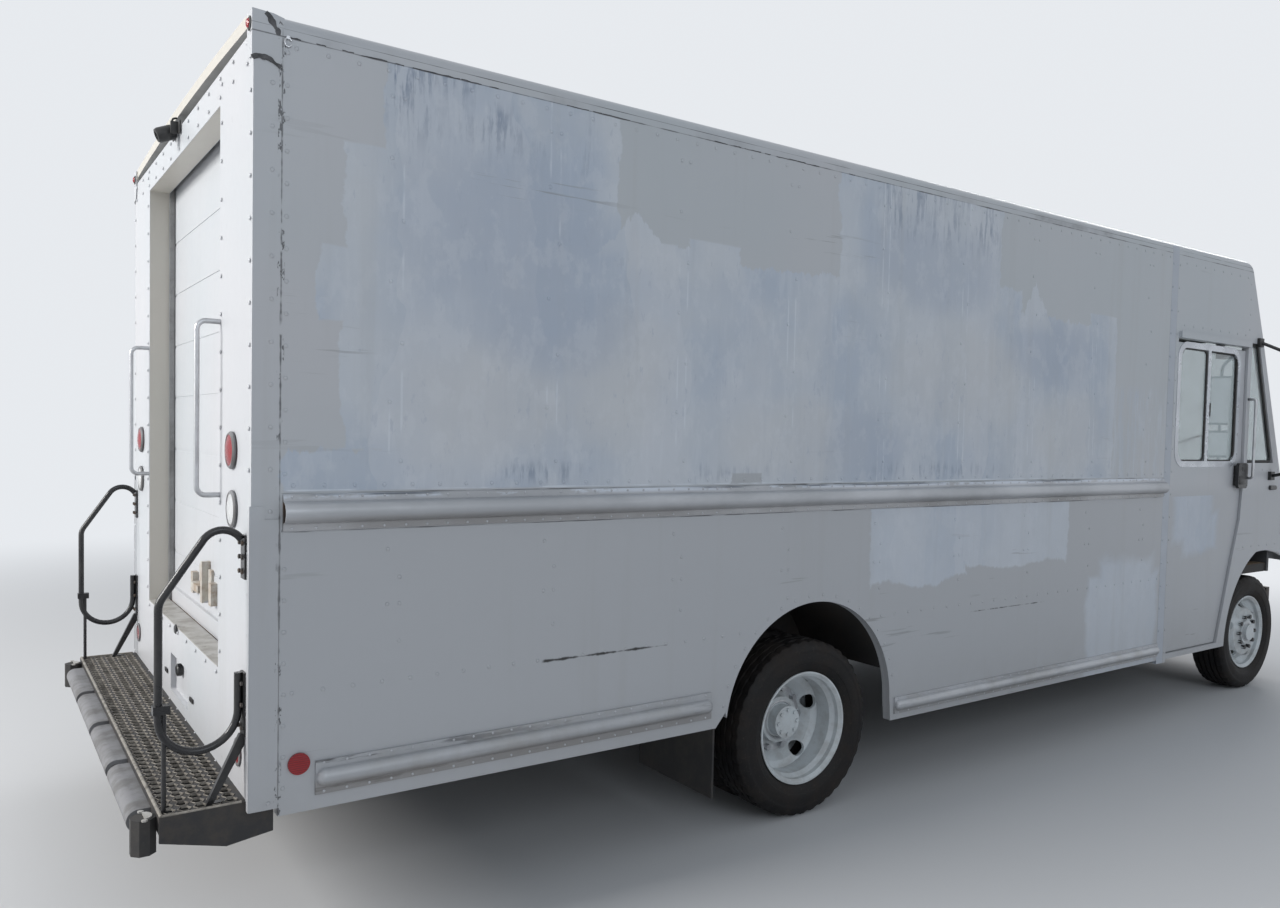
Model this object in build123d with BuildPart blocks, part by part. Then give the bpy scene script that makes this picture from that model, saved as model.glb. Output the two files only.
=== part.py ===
from build123d import *
from math import cos, degrees, radians, sin, sqrt
import os

os.makedirs("parts", exist_ok=True)

# A walk-in step van: aluminium body, sliding cab doors, twin rear wheels.
# Millimetres, +X forward, +Y left, +Z up, ground at Z = 0.
# A station is a distance forward of the body's rear face.

# Overall places
half_width = 1219            # body skin to centre line
front_axle_at = 6885
front_overhang = 835         # front axle to the front bumper's face
front_reach = front_axle_at + front_overhang
rear_reach = 320             # rear face to the back of the rear bumpers
middle = (front_reach - rear_reach) / 2
wall = 45                    # whole side wall, skin to lining
door_skin = 12               # wall left outside the door pocket
seat_gap = 0.3               # between pieces that rest against each other
pin_gap = 0.05               # round a pin or spindle that turns
move_gap = 5                 # between pieces that move past each other

# Heights
rail_bottom = 2948           # lower edge of the roof rails
rail_high = 66
rail_top = rail_bottom + rail_high
crown_rise = 26
roof_crown = rail_top + crown_rise
floor_top = 900
deck_top = 568               # rear step
floor_deep = 60
frame_top = floor_top - floor_deep
rear_skirt_bottom = 513
mid_skirt_bottom = 378
sill_bottom = 374
pillar_bottom = 355

# Stations along the body
rear_wall = 86               # thickness of the rear portal
pillar_rear = 5482
pillar_front = 5593
cab_split = 7130             # cab side meets the nose
bumper_stand = 80            # nose to the bumper's face
nose_front = front_reach - bumper_stand
roof_front = 6356
rear_axle_at = 2450

# Rear doorway
doorway_half = 760
doorway_top = 2838

# Wheels
tyre_radius = 408
tyre_wide = 226
rim_radius = 247.6
rim_wide = 190
flange_radius = 260
rear_track_half = 1065       # outer rear wheel's middle plane
dual_spacing = 254
front_track_half = 1046
kingpin_half = 900
arch_radius = 515
arch_centre_z = 488

# Chassis
frame_half = 432
frame_flange = 76
frame_web = 9
frame_deep = 230
frame_bottom = frame_top - frame_deep

sides = (("right", -1), ("left", 1))


def at(station):
    return station - middle


def side_plane(sign, inset=0):
    # the plane of a side wall; extruding by +sign * depth goes inwards
    return Plane.XZ.offset(-sign * (half_width - inset))


# Rear wheel arch: a half circle on straight sides
arch_front = rear_axle_at + arch_radius
arch_rear = rear_axle_at - arch_radius

# Cab side door, closed: overlaps the pillar and follows the curved jamb
door_thick = 32
door_rear = pillar_front - 30
door_front = 6543
door_top = 2404
door_bottom = 412
door_outer = half_width - door_skin - move_gap
door_travel = 820            # the latch stops short of the pillar
door_toe = 6260              # front edge at the bottom
door_knee = (6524, 1238)     # where the front edge starts to lean back
door_shin = (6428, 950)
jamb_gap = 6
glass_thick = 6
pane_lap = 15                # how far each pane passes the stile's middle

window_rear = 5655
window_front = 6452
window_bottom = 1632
window_top = 2385
window_corner = 85
window_split = 6039
window_stile = 38
frame_proud = 3              # window frame beyond the door's face
frame_lap = 28
frame_lip = 12

# Front arch: rises from the sill, flat over the wheel, then runs on to the nose
arch_foot = (6372, sill_bottom)
arch_shoulder = (6535, 800)
arch_top = (6800, 1000)
arch_brow = (6950, 1005)
arch_end_z = 982
nose_edge_z = 880

# Windscreen line
screen_top = (6752, 2520)
screen_foot = (7120, 1560)
roof_shoulder = (6572, 2948)
belt = screen_foot[1]

# Floor of the load space and the cab, with the rear wheelhouses and step wells
well_inner = 640             # wheelhouse inner wall, from the centre line
liner = 12
cab_floor_half = door_outer - door_thick - move_gap - 2
step_front = 6345
step_rear = 5605
well_centre = (step_rear + step_front) / 2
step_inner = 870
step_height = 440
firewall_at = 7085
tunnel_half = 345
tunnel_rear = 6560
pocket_spare = 213
pocket_rear = door_rear - door_travel - pocket_spare  # inner pockets that the doors enter
pocket_lap = 40
cab_floor_lap = 160
pocket_top = 2440
pocket_bottom = sill_bottom + 30
pocket_front = pillar_rear + pocket_lap
guide_deep = 70              # guides of the roll-up curtain, behind the rear portal
bulkhead_at = 5500
cover_high = 6               # boards laid over the load floor
cover_clear = 10
cover_inner = well_inner - liner - cover_clear  # the boards stop short of each wheelhouse
cover_rear = rear_wall + guide_deep + cover_clear
cover_front = bulkhead_at - cover_clear
rib_wide = 60
rib_high = 50
rib_stations = (620, 1220, 3320, 4900, 5400)

with BuildPart() as floor:
    with BuildSketch(Plane.XY.offset(frame_top)):
        with Locations((at((rear_wall + pillar_rear) / 2), 0)):
            Rectangle(pillar_rear - rear_wall, 2 * (half_width - wall))
    extrude(amount=floor_deep)
    with BuildSketch(Plane.XY.offset(frame_top)):
        with Locations((at((pocket_rear - cab_floor_lap + firewall_at) / 2), 0)):
            Rectangle(firewall_at - pocket_rear + cab_floor_lap, 2 * cab_floor_half)
    extrude(amount=floor_deep)
    # the door pockets and the tunnel over the engine stay free
    for name, sign in sides:
        with BuildSketch(Plane.XY.offset(frame_top)):
            with Locations((at((pocket_rear + pillar_rear) / 2), sign * (half_width + cab_floor_half) / 2)):
                Rectangle(pillar_rear - pocket_rear + pocket_lap, half_width - cab_floor_half)
            with Locations((at(well_centre), sign * (cab_floor_half + step_inner) / 2)):
                Rectangle(step_front - step_rear, cab_floor_half - step_inner)
            with Locations((at(rear_axle_at), sign * (half_width + well_inner) / 2)):
                Rectangle(2 * arch_radius - 240, half_width - well_inner)
        extrude(amount=floor_deep, mode=Mode.SUBTRACT)
    with BuildSketch(Plane.XY.offset(frame_top)):
        with Locations((at((tunnel_rear + firewall_at) / 2), 0)):
            Rectangle(firewall_at - tunnel_rear, 2 * tunnel_half)
    extrude(amount=floor_deep, mode=Mode.SUBTRACT)
    for name, sign in sides:
        # wheelhouse: an arched liner closed by a plate on its inner side
        with BuildSketch(Plane.XZ.offset(-sign * (half_width - wall))):
            with Locations((at(rear_axle_at), arch_centre_z)):
                Circle(arch_radius + liner)
            with Locations((at(rear_axle_at), frame_bottom + 20 - 500)):
                Rectangle(3 * arch_radius, 1000, mode=Mode.SUBTRACT)
        extrude(amount=sign * (half_width - wall - well_inner + liner))
        with BuildSketch(Plane.XZ.offset(-sign * (half_width - wall))):
            with Locations((at(rear_axle_at), arch_centre_z)):
                Circle(arch_radius)
        extrude(amount=sign * (half_width - wall - well_inner), mode=Mode.SUBTRACT)
        # step well behind the sill, open on its outer side
        with BuildSketch(Plane.XY.offset(step_height - liner)):
            with Locations((at(well_centre), sign * (cab_floor_half + step_inner - liner) / 2)):
                Rectangle(step_front - step_rear + 2 * liner, cab_floor_half - step_inner + liner)
        extrude(amount=floor_top - step_height + liner)
        with BuildSketch(Plane.XY.offset(step_height)):
            with Locations((at(well_centre), sign * (cab_floor_half + step_inner) / 2)):
                Rectangle(step_front - step_rear, cab_floor_half - step_inner)
        extrude(amount=floor_top - step_height, mode=Mode.SUBTRACT)
        # cross ribs under the floor, outside the frame rails
        for station in rib_stations:
            with Locations((at(station), sign * (frame_half + cab_floor_half) / 2, frame_top - rib_high / 2)):
                Box(rib_wide, cab_floor_half - frame_half - 2 * cover_clear, rib_high)
    # load floor boards between the door guides and the bulkhead
    with BuildSketch(Plane.XY.offset(floor_top)):
        with Locations((at((cover_rear + cover_front) / 2), 0)):
            Rectangle(cover_front - cover_rear, 2 * (cab_floor_half - cover_clear))
        for name, sign in sides:
            with Locations((at(rear_axle_at), sign * (half_width + cover_inner) / 2)):
                Rectangle(2 * (arch_radius + liner + cover_clear), half_width - cover_inner,
                          mode=Mode.SUBTRACT)
    extrude(amount=cover_high)
floor.part.label = "floor"
export_step(floor.part, "parts/floor.step")

# Side walls of the load space, with the arch cut and the inner pocket of the sliding door
skirt_corner = 60
for side, sign in sides:
    with BuildPart() as side_panel:
        with BuildSketch(side_plane(sign)):
            with BuildLine():
                Polyline(
                    (at(rear_wall), rear_skirt_bottom),
                    (at(arch_rear - skirt_corner), rear_skirt_bottom),
                    (at(arch_rear - 8), rear_skirt_bottom + skirt_corner),
                    (at(arch_rear), arch_centre_z + skirt_corner),
                )
                ThreePointArc(
                    (at(arch_rear), arch_centre_z + skirt_corner),
                    (at(rear_axle_at), arch_centre_z + arch_radius),
                    (at(arch_front), arch_centre_z),
                )
                Polyline(
                    (at(arch_front), arch_centre_z),
                    (at(arch_front + 10), mid_skirt_bottom),
                    (at(pillar_rear), mid_skirt_bottom),
                    (at(pillar_rear), rail_bottom),
                    (at(rear_wall), rail_bottom),
                    (at(rear_wall), rear_skirt_bottom),
                )
            make_face()
        extrude(amount=sign * wall)
        with BuildSketch(side_plane(sign, door_skin)):
            with Locations((at((pocket_rear + pocket_front) / 2), (pocket_bottom + pocket_top) / 2)):
                Rectangle(pocket_front - pocket_rear, pocket_top - pocket_bottom)
        extrude(amount=sign * wall, mode=Mode.SUBTRACT)
    side_panel.part.label = f"side_panel_{side}"
    export_step(side_panel.part, f"parts/side_panel_{side}.step")

# Rear portal: header, posts and valance in one, with the curtain's guides inside
valance_bottom = 540
guard_top = 1458             # lower corner guards
guard_proud = 3
guard_side = 86
guard_back = 42
recess_at = -17              # licence plate recess
recess_z = 692
recess_size = (380, 160)
guide_over = 40              # guides and curtain run on above the opening
with BuildPart() as rear_frame:
    with BuildSketch(Plane.YZ.offset(at(0))):
        with Locations((0, (rail_bottom + valance_bottom) / 2)):
            Rectangle(2 * half_width, rail_bottom - valance_bottom)
        with Locations((0, (doorway_top + floor_top + 5) / 2)):
            Rectangle(2 * doorway_half, doorway_top - floor_top - 5, mode=Mode.SUBTRACT)
    extrude(amount=rear_wall)
    with BuildSketch(Plane.YZ.offset(at(0))):
        with Locations((recess_at, recess_z)):
            RectangleRounded(*recess_size, 12)
    extrude(amount=22, mode=Mode.SUBTRACT)
    # folded guards round the lower corners
    for name, sign in sides:
        with BuildSketch(Plane.XY.offset(deck_top + seat_gap)):
            guard_y = sign * (half_width + guard_proud - guard_back / 2)
            with Locations((at((guard_side - guard_proud) / 2), guard_y)):
                RectangleRounded(guard_side + guard_proud, guard_back, guard_proud)
            with Locations((at(guard_side / 2 + 1), sign * (half_width - guard_back / 2 - 1))):
                Rectangle(guard_side, guard_back, mode=Mode.SUBTRACT)
        extrude(amount=guard_top - deck_top - seat_gap)
    # guides for the roll-up curtain
    for name, sign in sides:
        with BuildSketch(Plane.XY.offset(floor_top)):
            with Locations((at(rear_wall + guide_deep / 2), sign * (doorway_half + 20))):
                Rectangle(guide_deep, 64)
            with Locations((at(rear_wall + guide_deep / 2), sign * (doorway_half + 4))):
                Rectangle(30, 40, mode=Mode.SUBTRACT)
        extrude(amount=doorway_top + guide_over - floor_top)
rear_frame.part.label = "rear_frame"
export_step(rear_frame.part, "parts/rear_frame.step")

# Roll-up curtain: ribbed slats between the guides
slat_count = 8
curtain_thick = 24
curtain_half = doorway_half + 20
curtain_at = rear_wall + guide_deep / 2
slat_groove = 5
latch_table = (
    # from centre line, height, width, height, standing out
    (0, floor_top + 36, 2 * doorway_half - 60, 70, 14),
    (-20, floor_top + 190, 240, 130, 10),
    (-60, floor_top + 200, 34, 170, 34),
    (40, floor_top + 165, 150, 30, 42),
    (-180, floor_top + 165, 46, 90, 24),
    (190, floor_top + 165, 46, 90, 24),
)
with BuildPart() as roll_door:
    with BuildSketch(Plane.XY.offset(floor_top + seat_gap)):
        with Locations((at(curtain_at), 0)):
            Rectangle(curtain_thick, 2 * curtain_half)
    extrude(amount=doorway_top + guide_over - floor_top - 2 * seat_gap)
    slat_high = (doorway_top - floor_top) / slat_count
    for index in range(1, slat_count):
        for face in (-1, 1):
            with Locations((at(curtain_at) + face * curtain_thick / 2, 0, floor_top + index * slat_high)):
                Box(slat_groove, 2 * curtain_half, 12, mode=Mode.SUBTRACT)
    # bottom rail and the latch with its lever, rods' guides and catch
    door_face = at(curtain_at - curtain_thick / 2)
    for y, z, wide, high, proud in latch_table:
        with Locations((door_face - proud / 2 + 1, y, z)):
            Box(proud + 2, wide, high)
roll_door.part.label = "roll_door"
export_step(roll_door.part, "parts/roll_door.step")

# Roof: side rails with a rounded shoulder and a crowned skin, one hollow section
roof_skin = 40
rail_wide = 70
rail_round = 46


def roof_section(start):
    # the roof's cross-section, drawn at a station
    with BuildSketch(Plane.YZ.offset(at(start))) as section:
        with BuildLine():
            ThreePointArc((-half_width + rail_round, rail_top), (0, roof_crown),
                          (half_width - rail_round, rail_top))
            for sign in (-1, 1):
                shoulder = (sign * (half_width - rail_round * 0.29), rail_top - rail_round * 0.29)
                ThreePointArc((sign * (half_width - rail_round), rail_top), shoulder,
                              (sign * half_width, rail_top - rail_round))
                Line((sign * half_width, rail_top - rail_round), (sign * half_width, rail_bottom))
                Line((sign * half_width, rail_bottom), (sign * (half_width - rail_wide), rail_bottom))
                Line((sign * (half_width - rail_wide), rail_bottom),
                     (sign * (half_width - rail_wide), rail_top - roof_skin))
            ThreePointArc((-half_width + rail_wide, rail_top - roof_skin), (0, roof_crown - roof_skin),
                          (half_width - rail_wide, rail_top - roof_skin))
        make_face()
    return section.sketch


roof_profile = roof_section(0)
with BuildPart() as roof_panel:
    extrude(roof_profile, amount=roof_front)
roof_panel.part.label = "roof_panel"
export_step(roof_panel.part, "parts/roof_panel.step")

# Front cap: the roof section rounded down to the windscreen header
cap_split = roof_front
cap_level = 60
header_thick = 45
cap_profile = roof_section(cap_split)
with BuildPart() as front_cap:
    extrude(cap_profile, amount=roof_shoulder[0] - cap_split)
    with BuildSketch(Plane.XZ.offset(-half_width)):
        with BuildLine():
            Polyline((at(cap_split), rail_bottom), (at(cap_split), roof_crown),
                     (at(cap_split + cap_level), roof_crown))
            ThreePointArc((at(cap_split + cap_level), roof_crown),
                          (at(roof_shoulder[0] - 50), roof_crown - 42),
                          (at(roof_shoulder[0]), rail_bottom))
            Line((at(roof_shoulder[0]), rail_bottom), (at(cap_split), rail_bottom))
        make_face()
    extrude(amount=2 * half_width, mode=Mode.INTERSECT)
    # brow: the sloping panel between the cab sides
    with BuildSketch(Plane.XZ.offset(-(half_width - wall))):
        with BuildLine():
            Polyline(
                (at(roof_shoulder[0]), rail_bottom),
                (at(screen_top[0]), screen_top[1]),
                (at(screen_top[0] - header_thick), screen_top[1]),
                (at(roof_shoulder[0] - header_thick - 20), rail_bottom),
                (at(roof_shoulder[0] - header_thick - 20), rail_bottom + 40),
                (at(roof_shoulder[0] - 22), rail_bottom + 40),
                close=True,
            )
        make_face()
    extrude(amount=2 * (half_width - wall))
front_cap.part.label = "front_cap"
export_step(front_cap.part, "parts/front_cap.step")

# Cab sides: pillar, header, front jamb with quarter window, fender over the wheel
quarter_rear = 6598
quarter_top = 2462
quarter_bottom = 1632
post_wide = 60               # slanted windscreen post
header_bottom = 2428
track_bottom = 2450
track_high = 25
track_rear = 4640
track_front = 6530
track_inner = 1130
drip_rear = 5600             # drip rail over the door
drip_front = 6560
drip_high = 40
drip_out = 18


def screen_x(z, back=0):
    # station of the windscreen line at a height, moved back along X
    lean = (screen_foot[0] - screen_top[0]) / (screen_top[1] - screen_foot[1])
    return screen_top[0] + (screen_top[1] - z) * lean - back


for side, sign in sides:
    with BuildPart() as cab_side:
        with BuildSketch(side_plane(sign)):
            with BuildLine():
                Polyline(
                    (at(cab_split), belt),
                    (at(screen_foot[0]), belt),
                    (at(screen_top[0]), screen_top[1]),
                    (at(roof_shoulder[0]), rail_bottom),
                    (at(pillar_rear + seat_gap), rail_bottom),
                    (at(pillar_rear + seat_gap), pillar_bottom),
                    (at(pillar_front), pillar_bottom),
                    (at(pillar_front), sill_bottom),
                    (at(arch_foot[0]), sill_bottom),
                )
                ThreePointArc((at(arch_foot[0]), sill_bottom), (at(arch_shoulder[0]), arch_shoulder[1]),
                              (at(arch_top[0]), arch_top[1]))
                ThreePointArc((at(arch_top[0]), arch_top[1]), (at(arch_brow[0]), arch_brow[1]),
                              (at(cab_split), arch_end_z))
                Line((at(cab_split), arch_end_z), (at(cab_split), belt))
            make_face()
            # doorway
            with BuildLine():
                Polyline(
                    (at(pillar_front), door_bottom - move_gap),
                    (at(door_toe + jamb_gap), door_bottom - move_gap),
                    (at(door_shin[0] + jamb_gap), door_shin[1]),
                    (at(door_knee[0] + jamb_gap), door_knee[1]),
                    (at(door_front + jamb_gap), 1430),
                    (at(door_front + jamb_gap), header_bottom),
                    (at(pillar_front), header_bottom),
                    close=True,
                )
            make_face(mode=Mode.SUBTRACT)
            # quarter window with a slanted front edge
            with BuildLine():
                Polyline(
                    (at(quarter_rear), quarter_bottom),
                    (at(screen_x(quarter_bottom, post_wide + 30)), quarter_bottom),
                    (at(screen_x(quarter_top, post_wide)), quarter_top),
                    (at(quarter_rear), quarter_top),
                    close=True,
                )
            make_face(mode=Mode.SUBTRACT)
        extrude(amount=sign * wall)
        # the pillar is a thin skin where the door slides behind it
        with BuildSketch(side_plane(sign, door_skin)):
            with Locations((at((pillar_rear + pillar_front) / 2), (pocket_bottom + pocket_top) / 2)):
                Rectangle(pillar_front - pillar_rear + 4, pocket_top - pocket_bottom)
        extrude(amount=sign * wall, mode=Mode.SUBTRACT)
        # door track on the inner side of the header
        with Locations((at((track_rear + track_front) / 2),
                        sign * (half_width - wall + track_inner) / 2, track_bottom + track_high / 2)):
            Box(track_front - track_rear, half_width - wall - track_inner, track_high)
        # drip rail over the door
        with Locations((at((drip_rear + drip_front) / 2), sign * (half_width + drip_out / 2 - 2),
                        header_bottom + drip_high / 2)):
            Box(drip_front - drip_rear, drip_out + 4, drip_high)
    cab_side.part.label = f"cab_side_{side}"
    export_step(cab_side.part, f"parts/cab_side_{side}.step")

# Cab doors: one leaf with a window opening, hung from two rollers
hanger_inner = 1100
hanger_thick = 20
roller_radius = 20
roller_stations = (5720, 6380)
latch_at = (6495, 1545)
latch_base = (95, 140)
latch_face = (134, 174)
latch_thick = 20
for side, sign in sides:
    with BuildPart() as cab_door:
        with BuildSketch(Plane.XZ.offset(-sign * door_outer)):
            with BuildLine():
                Polyline(
                    (at(door_rear), door_bottom),
                    (at(door_toe), door_bottom),
                    (at(door_shin[0]), door_shin[1]),
                    (at(door_knee[0]), door_knee[1]),
                    (at(door_front), 1430),
                    (at(door_front), door_top),
                    (at(door_rear), door_top),
                    close=True,
                )
            make_face()
            with Locations((at((window_rear + window_front) / 2), (window_bottom + window_top) / 2)):
                RectangleRounded(window_front - window_rear, window_top - window_bottom,
                                 window_corner, mode=Mode.SUBTRACT)
        extrude(amount=sign * door_thick)
        for station in roller_stations:
            hanger_bottom = door_top - 60
            hanger_top = track_bottom + track_high + 2 * roller_radius
            with Locations((at(station), sign * (hanger_inner + hanger_thick / 2),
                            (hanger_bottom + hanger_top) / 2)):
                Box(90, hanger_thick, hanger_top - hanger_bottom)
            with Locations((at(station), sign * (hanger_inner + door_outer - door_thick) / 2,
                            hanger_bottom + 12)):
                Box(90, door_outer - door_thick - hanger_inner, 24)
            with BuildSketch(Plane.XZ.offset(-sign * (hanger_inner + hanger_thick))):
                with Locations((at(station), track_bottom + track_high + seat_gap + roller_radius)):
                    Circle(roller_radius)
            extrude(amount=-sign * 35)
        # window frame with the stile between its two panes
        window_middle = (at((window_rear + window_front) / 2), (window_bottom + window_top) / 2)
        window_size = (window_front - window_rear, window_top - window_bottom)
        with BuildSketch(Plane.XZ.offset(-sign * (door_outer + frame_proud))):
            with Locations(window_middle):
                RectangleRounded(window_size[0] + 2 * frame_lap, window_size[1] + 2 * frame_lap,
                                 window_corner + frame_lap)
                RectangleRounded(window_size[0] - 2 * frame_lip, window_size[1] - 2 * frame_lip,
                                 window_corner - frame_lip, mode=Mode.SUBTRACT)
            with Locations((at(window_split), window_middle[1])):
                Rectangle(window_stile, window_size[1] - frame_lip)
        extrude(amount=sign * (frame_proud + 9))
        # latch: a base on the door and a paddle over it
        with BuildSketch(Plane.XZ.offset(-sign * (door_outer - 1))):
            with Locations((at(latch_at[0]), latch_at[1])):
                RectangleRounded(*latch_base, 12)
        extrude(amount=-sign * (door_skin + 2 * move_gap + 1))
        with BuildSketch(Plane.XZ.offset(-sign * (half_width + move_gap))):
            with Locations((at(latch_at[0]), latch_at[1])):
                RectangleRounded(*latch_face, 24)
        extrude(amount=-sign * latch_thick)
    cab_door.part.label = f"cab_door_{side}"
    export_step(cab_door.part, f"parts/cab_door_{side}.step")

# Door glass: two panes that overlap at the middle stile
for side, sign in sides:
    with BuildPart() as door_glass:
        for inset, keep_from, keep_to in (
            (frame_proud + 9 + seat_gap, window_rear, window_split + pane_lap),
            (frame_proud + 9 + 2 * seat_gap + glass_thick, window_split - pane_lap, window_front),
        ):
            with BuildSketch(Plane.XZ.offset(-sign * (door_outer + frame_proud - inset))):
                with Locations((at((window_rear + window_front) / 2), (window_bottom + window_top) / 2)):
                    RectangleRounded(window_front - window_rear - 2 * seat_gap,
                                     window_top - window_bottom - 2 * seat_gap, window_corner - seat_gap)
                with Locations((at((keep_from + keep_to) / 2), (window_bottom + window_top) / 2)):
                    Rectangle(keep_to - keep_from, window_top - window_bottom, mode=Mode.INTERSECT)
            extrude(amount=sign * glass_thick)
    door_glass.part.label = f"door_glass_{side}"
    export_step(door_glass.part, f"parts/door_glass_{side}.step")

# Windscreen and quarter windows
screen_thick = 8
screen_half = half_width - wall - seat_gap
with BuildPart() as cab_glass:
    with BuildSketch(Plane.XZ.offset(-screen_half)):
        with BuildLine():
            Polyline(
                (at(screen_x(screen_top[1] - seat_gap, 12)), screen_top[1] - seat_gap),
                (at(screen_x(belt + seat_gap, 12)), belt + seat_gap),
                (at(screen_x(belt + seat_gap, 12 + screen_thick)), belt + seat_gap),
                (at(screen_x(screen_top[1] - seat_gap, 12 + screen_thick)), screen_top[1] - seat_gap),
                close=True,
            )
        make_face()
    extrude(amount=2 * screen_half)
    for name, sign in sides:
        with BuildSketch(side_plane(sign, 18)):
            with BuildLine():
                Polyline(
                    (at(quarter_rear + seat_gap), quarter_bottom + seat_gap),
                    (at(screen_x(quarter_bottom, post_wide + 30) - seat_gap), quarter_bottom + seat_gap),
                    (at(screen_x(quarter_top, post_wide) - seat_gap), quarter_top - seat_gap),
                    (at(quarter_rear + seat_gap), quarter_top - seat_gap),
                    close=True,
                )
            make_face()
        extrude(amount=sign * glass_thick)
cab_glass.part.label = "cab_glass"
export_step(cab_glass.part, "parts/cab_glass.step")

# Nose: a hollow moulding drawn in side view and in plan, open below and behind
nose_skin = 30
hood_half = 640
hood_rear = 7160
hood_front = nose_front - 70
grille_half = 420
grille_bottom = 820
grille_top = 1150
lamp_half_at = 610
lamp_z = 1010
lamp_radius = 90
nose_chin = 665
nose_lip_z = 1120            # where the front face begins to roll back
nose_roll_z = 1300           # where the roll meets the hood's slope
nose_roll = 100
corner_start = 340           # plan corners, back from the nose
corner_in = 360
nose_centre_half = 760
hood_gap = 6


def nose_form(inset):
    # side view crossed with plan view, each moved inwards by the inset
    with BuildPart() as form:
        with BuildSketch(Plane.XZ.offset(-half_width)):
            with BuildLine():
                Polyline(
                    (at(cab_split + seat_gap - 1.5 * inset), nose_chin - inset),
                    (at(cab_split + seat_gap - 1.5 * inset), belt - inset * 1.1),
                    (at(nose_front - nose_roll - inset * 0.4), nose_roll_z - inset),
                )
                ThreePointArc((at(nose_front - nose_roll - inset * 0.4), nose_roll_z - inset),
                              (at(nose_front - nose_roll * 0.28 - inset), nose_roll_z - 70 - inset * 0.6),
                              (at(nose_front - inset), nose_lip_z - inset * 0.3))
                Polyline(
                    (at(nose_front - inset), nose_lip_z - inset * 0.3),
                    (at(nose_front - inset), nose_chin - inset),
                    (at(cab_split + seat_gap - 1.5 * inset), nose_chin - inset),
                )
            make_face()
        extrude(amount=2 * half_width)
        with BuildSketch(Plane.XY):
            with BuildLine():
                half = half_width - inset
                front = nose_front - inset
                start = nose_front - corner_start
                shoulder = (start + corner_start * 0.77, half - corner_in * 0.28)
                Line((at(cab_split - 100), -half), (at(start), -half))
                ThreePointArc((at(start), -half), (at(shoulder[0]), -shoulder[1]),
                              (at(front), -half + corner_in))
                Line((at(front), -half + corner_in), (at(front), half - corner_in))
                ThreePointArc((at(front), half - corner_in), (at(shoulder[0]), shoulder[1]),
                              (at(start), half))
                Polyline((at(start), half), (at(cab_split - 100), half), (at(cab_split - 100), -half),
                         (at(start), -half))
            make_face()
        extrude(amount=2000, mode=Mode.INTERSECT)
    return form.part


# Hood hinge line and its two straps
hood_slope = (belt - nose_roll_z) / (nose_front - nose_roll - cab_split)
hinge_at = hood_rear + hood_gap / 2
hinge_z = belt - (hinge_at - cab_split) * hood_slope + 11
hinge_half_at = 480
hinge_pin_radius = 5
louvre_at = 7218
louvre_long = 130
louvre_z = 1120
louvre_pitch = 30
louvre_count = 8
louvre_deep = 9
nose_outer = nose_form(0)
nose_inner = nose_form(nose_skin)
with BuildPart() as nose:
    add(nose_outer)
    add(nose_inner, mode=Mode.SUBTRACT)
    # hood opening
    with BuildSketch(Plane.XY.offset(1160)):
        with Locations((at((hood_rear + hood_front) / 2), 0)):
            Rectangle(hood_front - hood_rear, 2 * hood_half)
    extrude(amount=600, mode=Mode.SUBTRACT)
    # the sides end above the wheels and run straight forward
    for name, sign in sides:
        with BuildSketch(Plane.XY):
            with Locations((at((cab_split + nose_front) / 2),
                            sign * (half_width + nose_centre_half + 40) / 2)):
                Rectangle(nose_front - cab_split + 400, half_width - nose_centre_half + 40)
        extrude(amount=nose_edge_z, mode=Mode.SUBTRACT)
    with BuildSketch(Plane.XZ.offset(-half_width - 1)):
        with BuildLine():
            Polyline((at(cab_split - 60), nose_chin - 60), (at(cab_split - 60), arch_end_z + 3),
                     (at(cab_split), arch_end_z), (at(nose_front - 120), nose_edge_z),
                     (at(nose_front - 120), nose_chin - 60), close=True)
        make_face()
    extrude(amount=2 * half_width + 2, mode=Mode.SUBTRACT)
    # radiator opening and lamp holes
    with BuildSketch(Plane.YZ.offset(at(nose_front - 60))):
        with Locations((0, (grille_bottom + grille_top) / 2)):
            RectangleRounded(2 * grille_half, grille_top - grille_bottom, 40)
        with Locations((-lamp_half_at, lamp_z), (lamp_half_at, lamp_z)):
            Circle(lamp_radius)
    extrude(amount=100, mode=Mode.SUBTRACT)
    # louvres low on each side
    for name, sign in sides:
        for index in range(louvre_count):
            with Locations((at(louvre_at), sign * half_width, louvre_z + index * louvre_pitch)):
                Box(louvre_long, 2 * louvre_deep, louvre_pitch / 2, mode=Mode.SUBTRACT)
    # hinge pins between two ears
    for name, sign in sides:
        for ear in (-1, 1):
            with BuildSketch(Plane.XZ.offset(-sign * hinge_half_at - ear * 25 - 8)):
                with BuildLine():
                    Polyline(
                        (at(hinge_at), hinge_z - 5), (at(hinge_at), hinge_z + 6),
                        (at(hinge_at - 8), hinge_z + 6), (at(hinge_at - 28), hinge_z - 4),
                        (at(hinge_at - 28), hinge_z - 18), (at(hood_rear - 1), hinge_z - 18),
                        (at(hood_rear - 1), hinge_z - 5), close=True,
                    )
                make_face()
            extrude(amount=16)
        with BuildSketch(Plane.XZ.offset(-sign * hinge_half_at - 30)):
            with Locations((at(hinge_at), hinge_z)):
                Circle(hinge_pin_radius)
        extrude(amount=60)
nose.part.label = "nose"
export_step(nose.part, "parts/nose.step")

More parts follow.
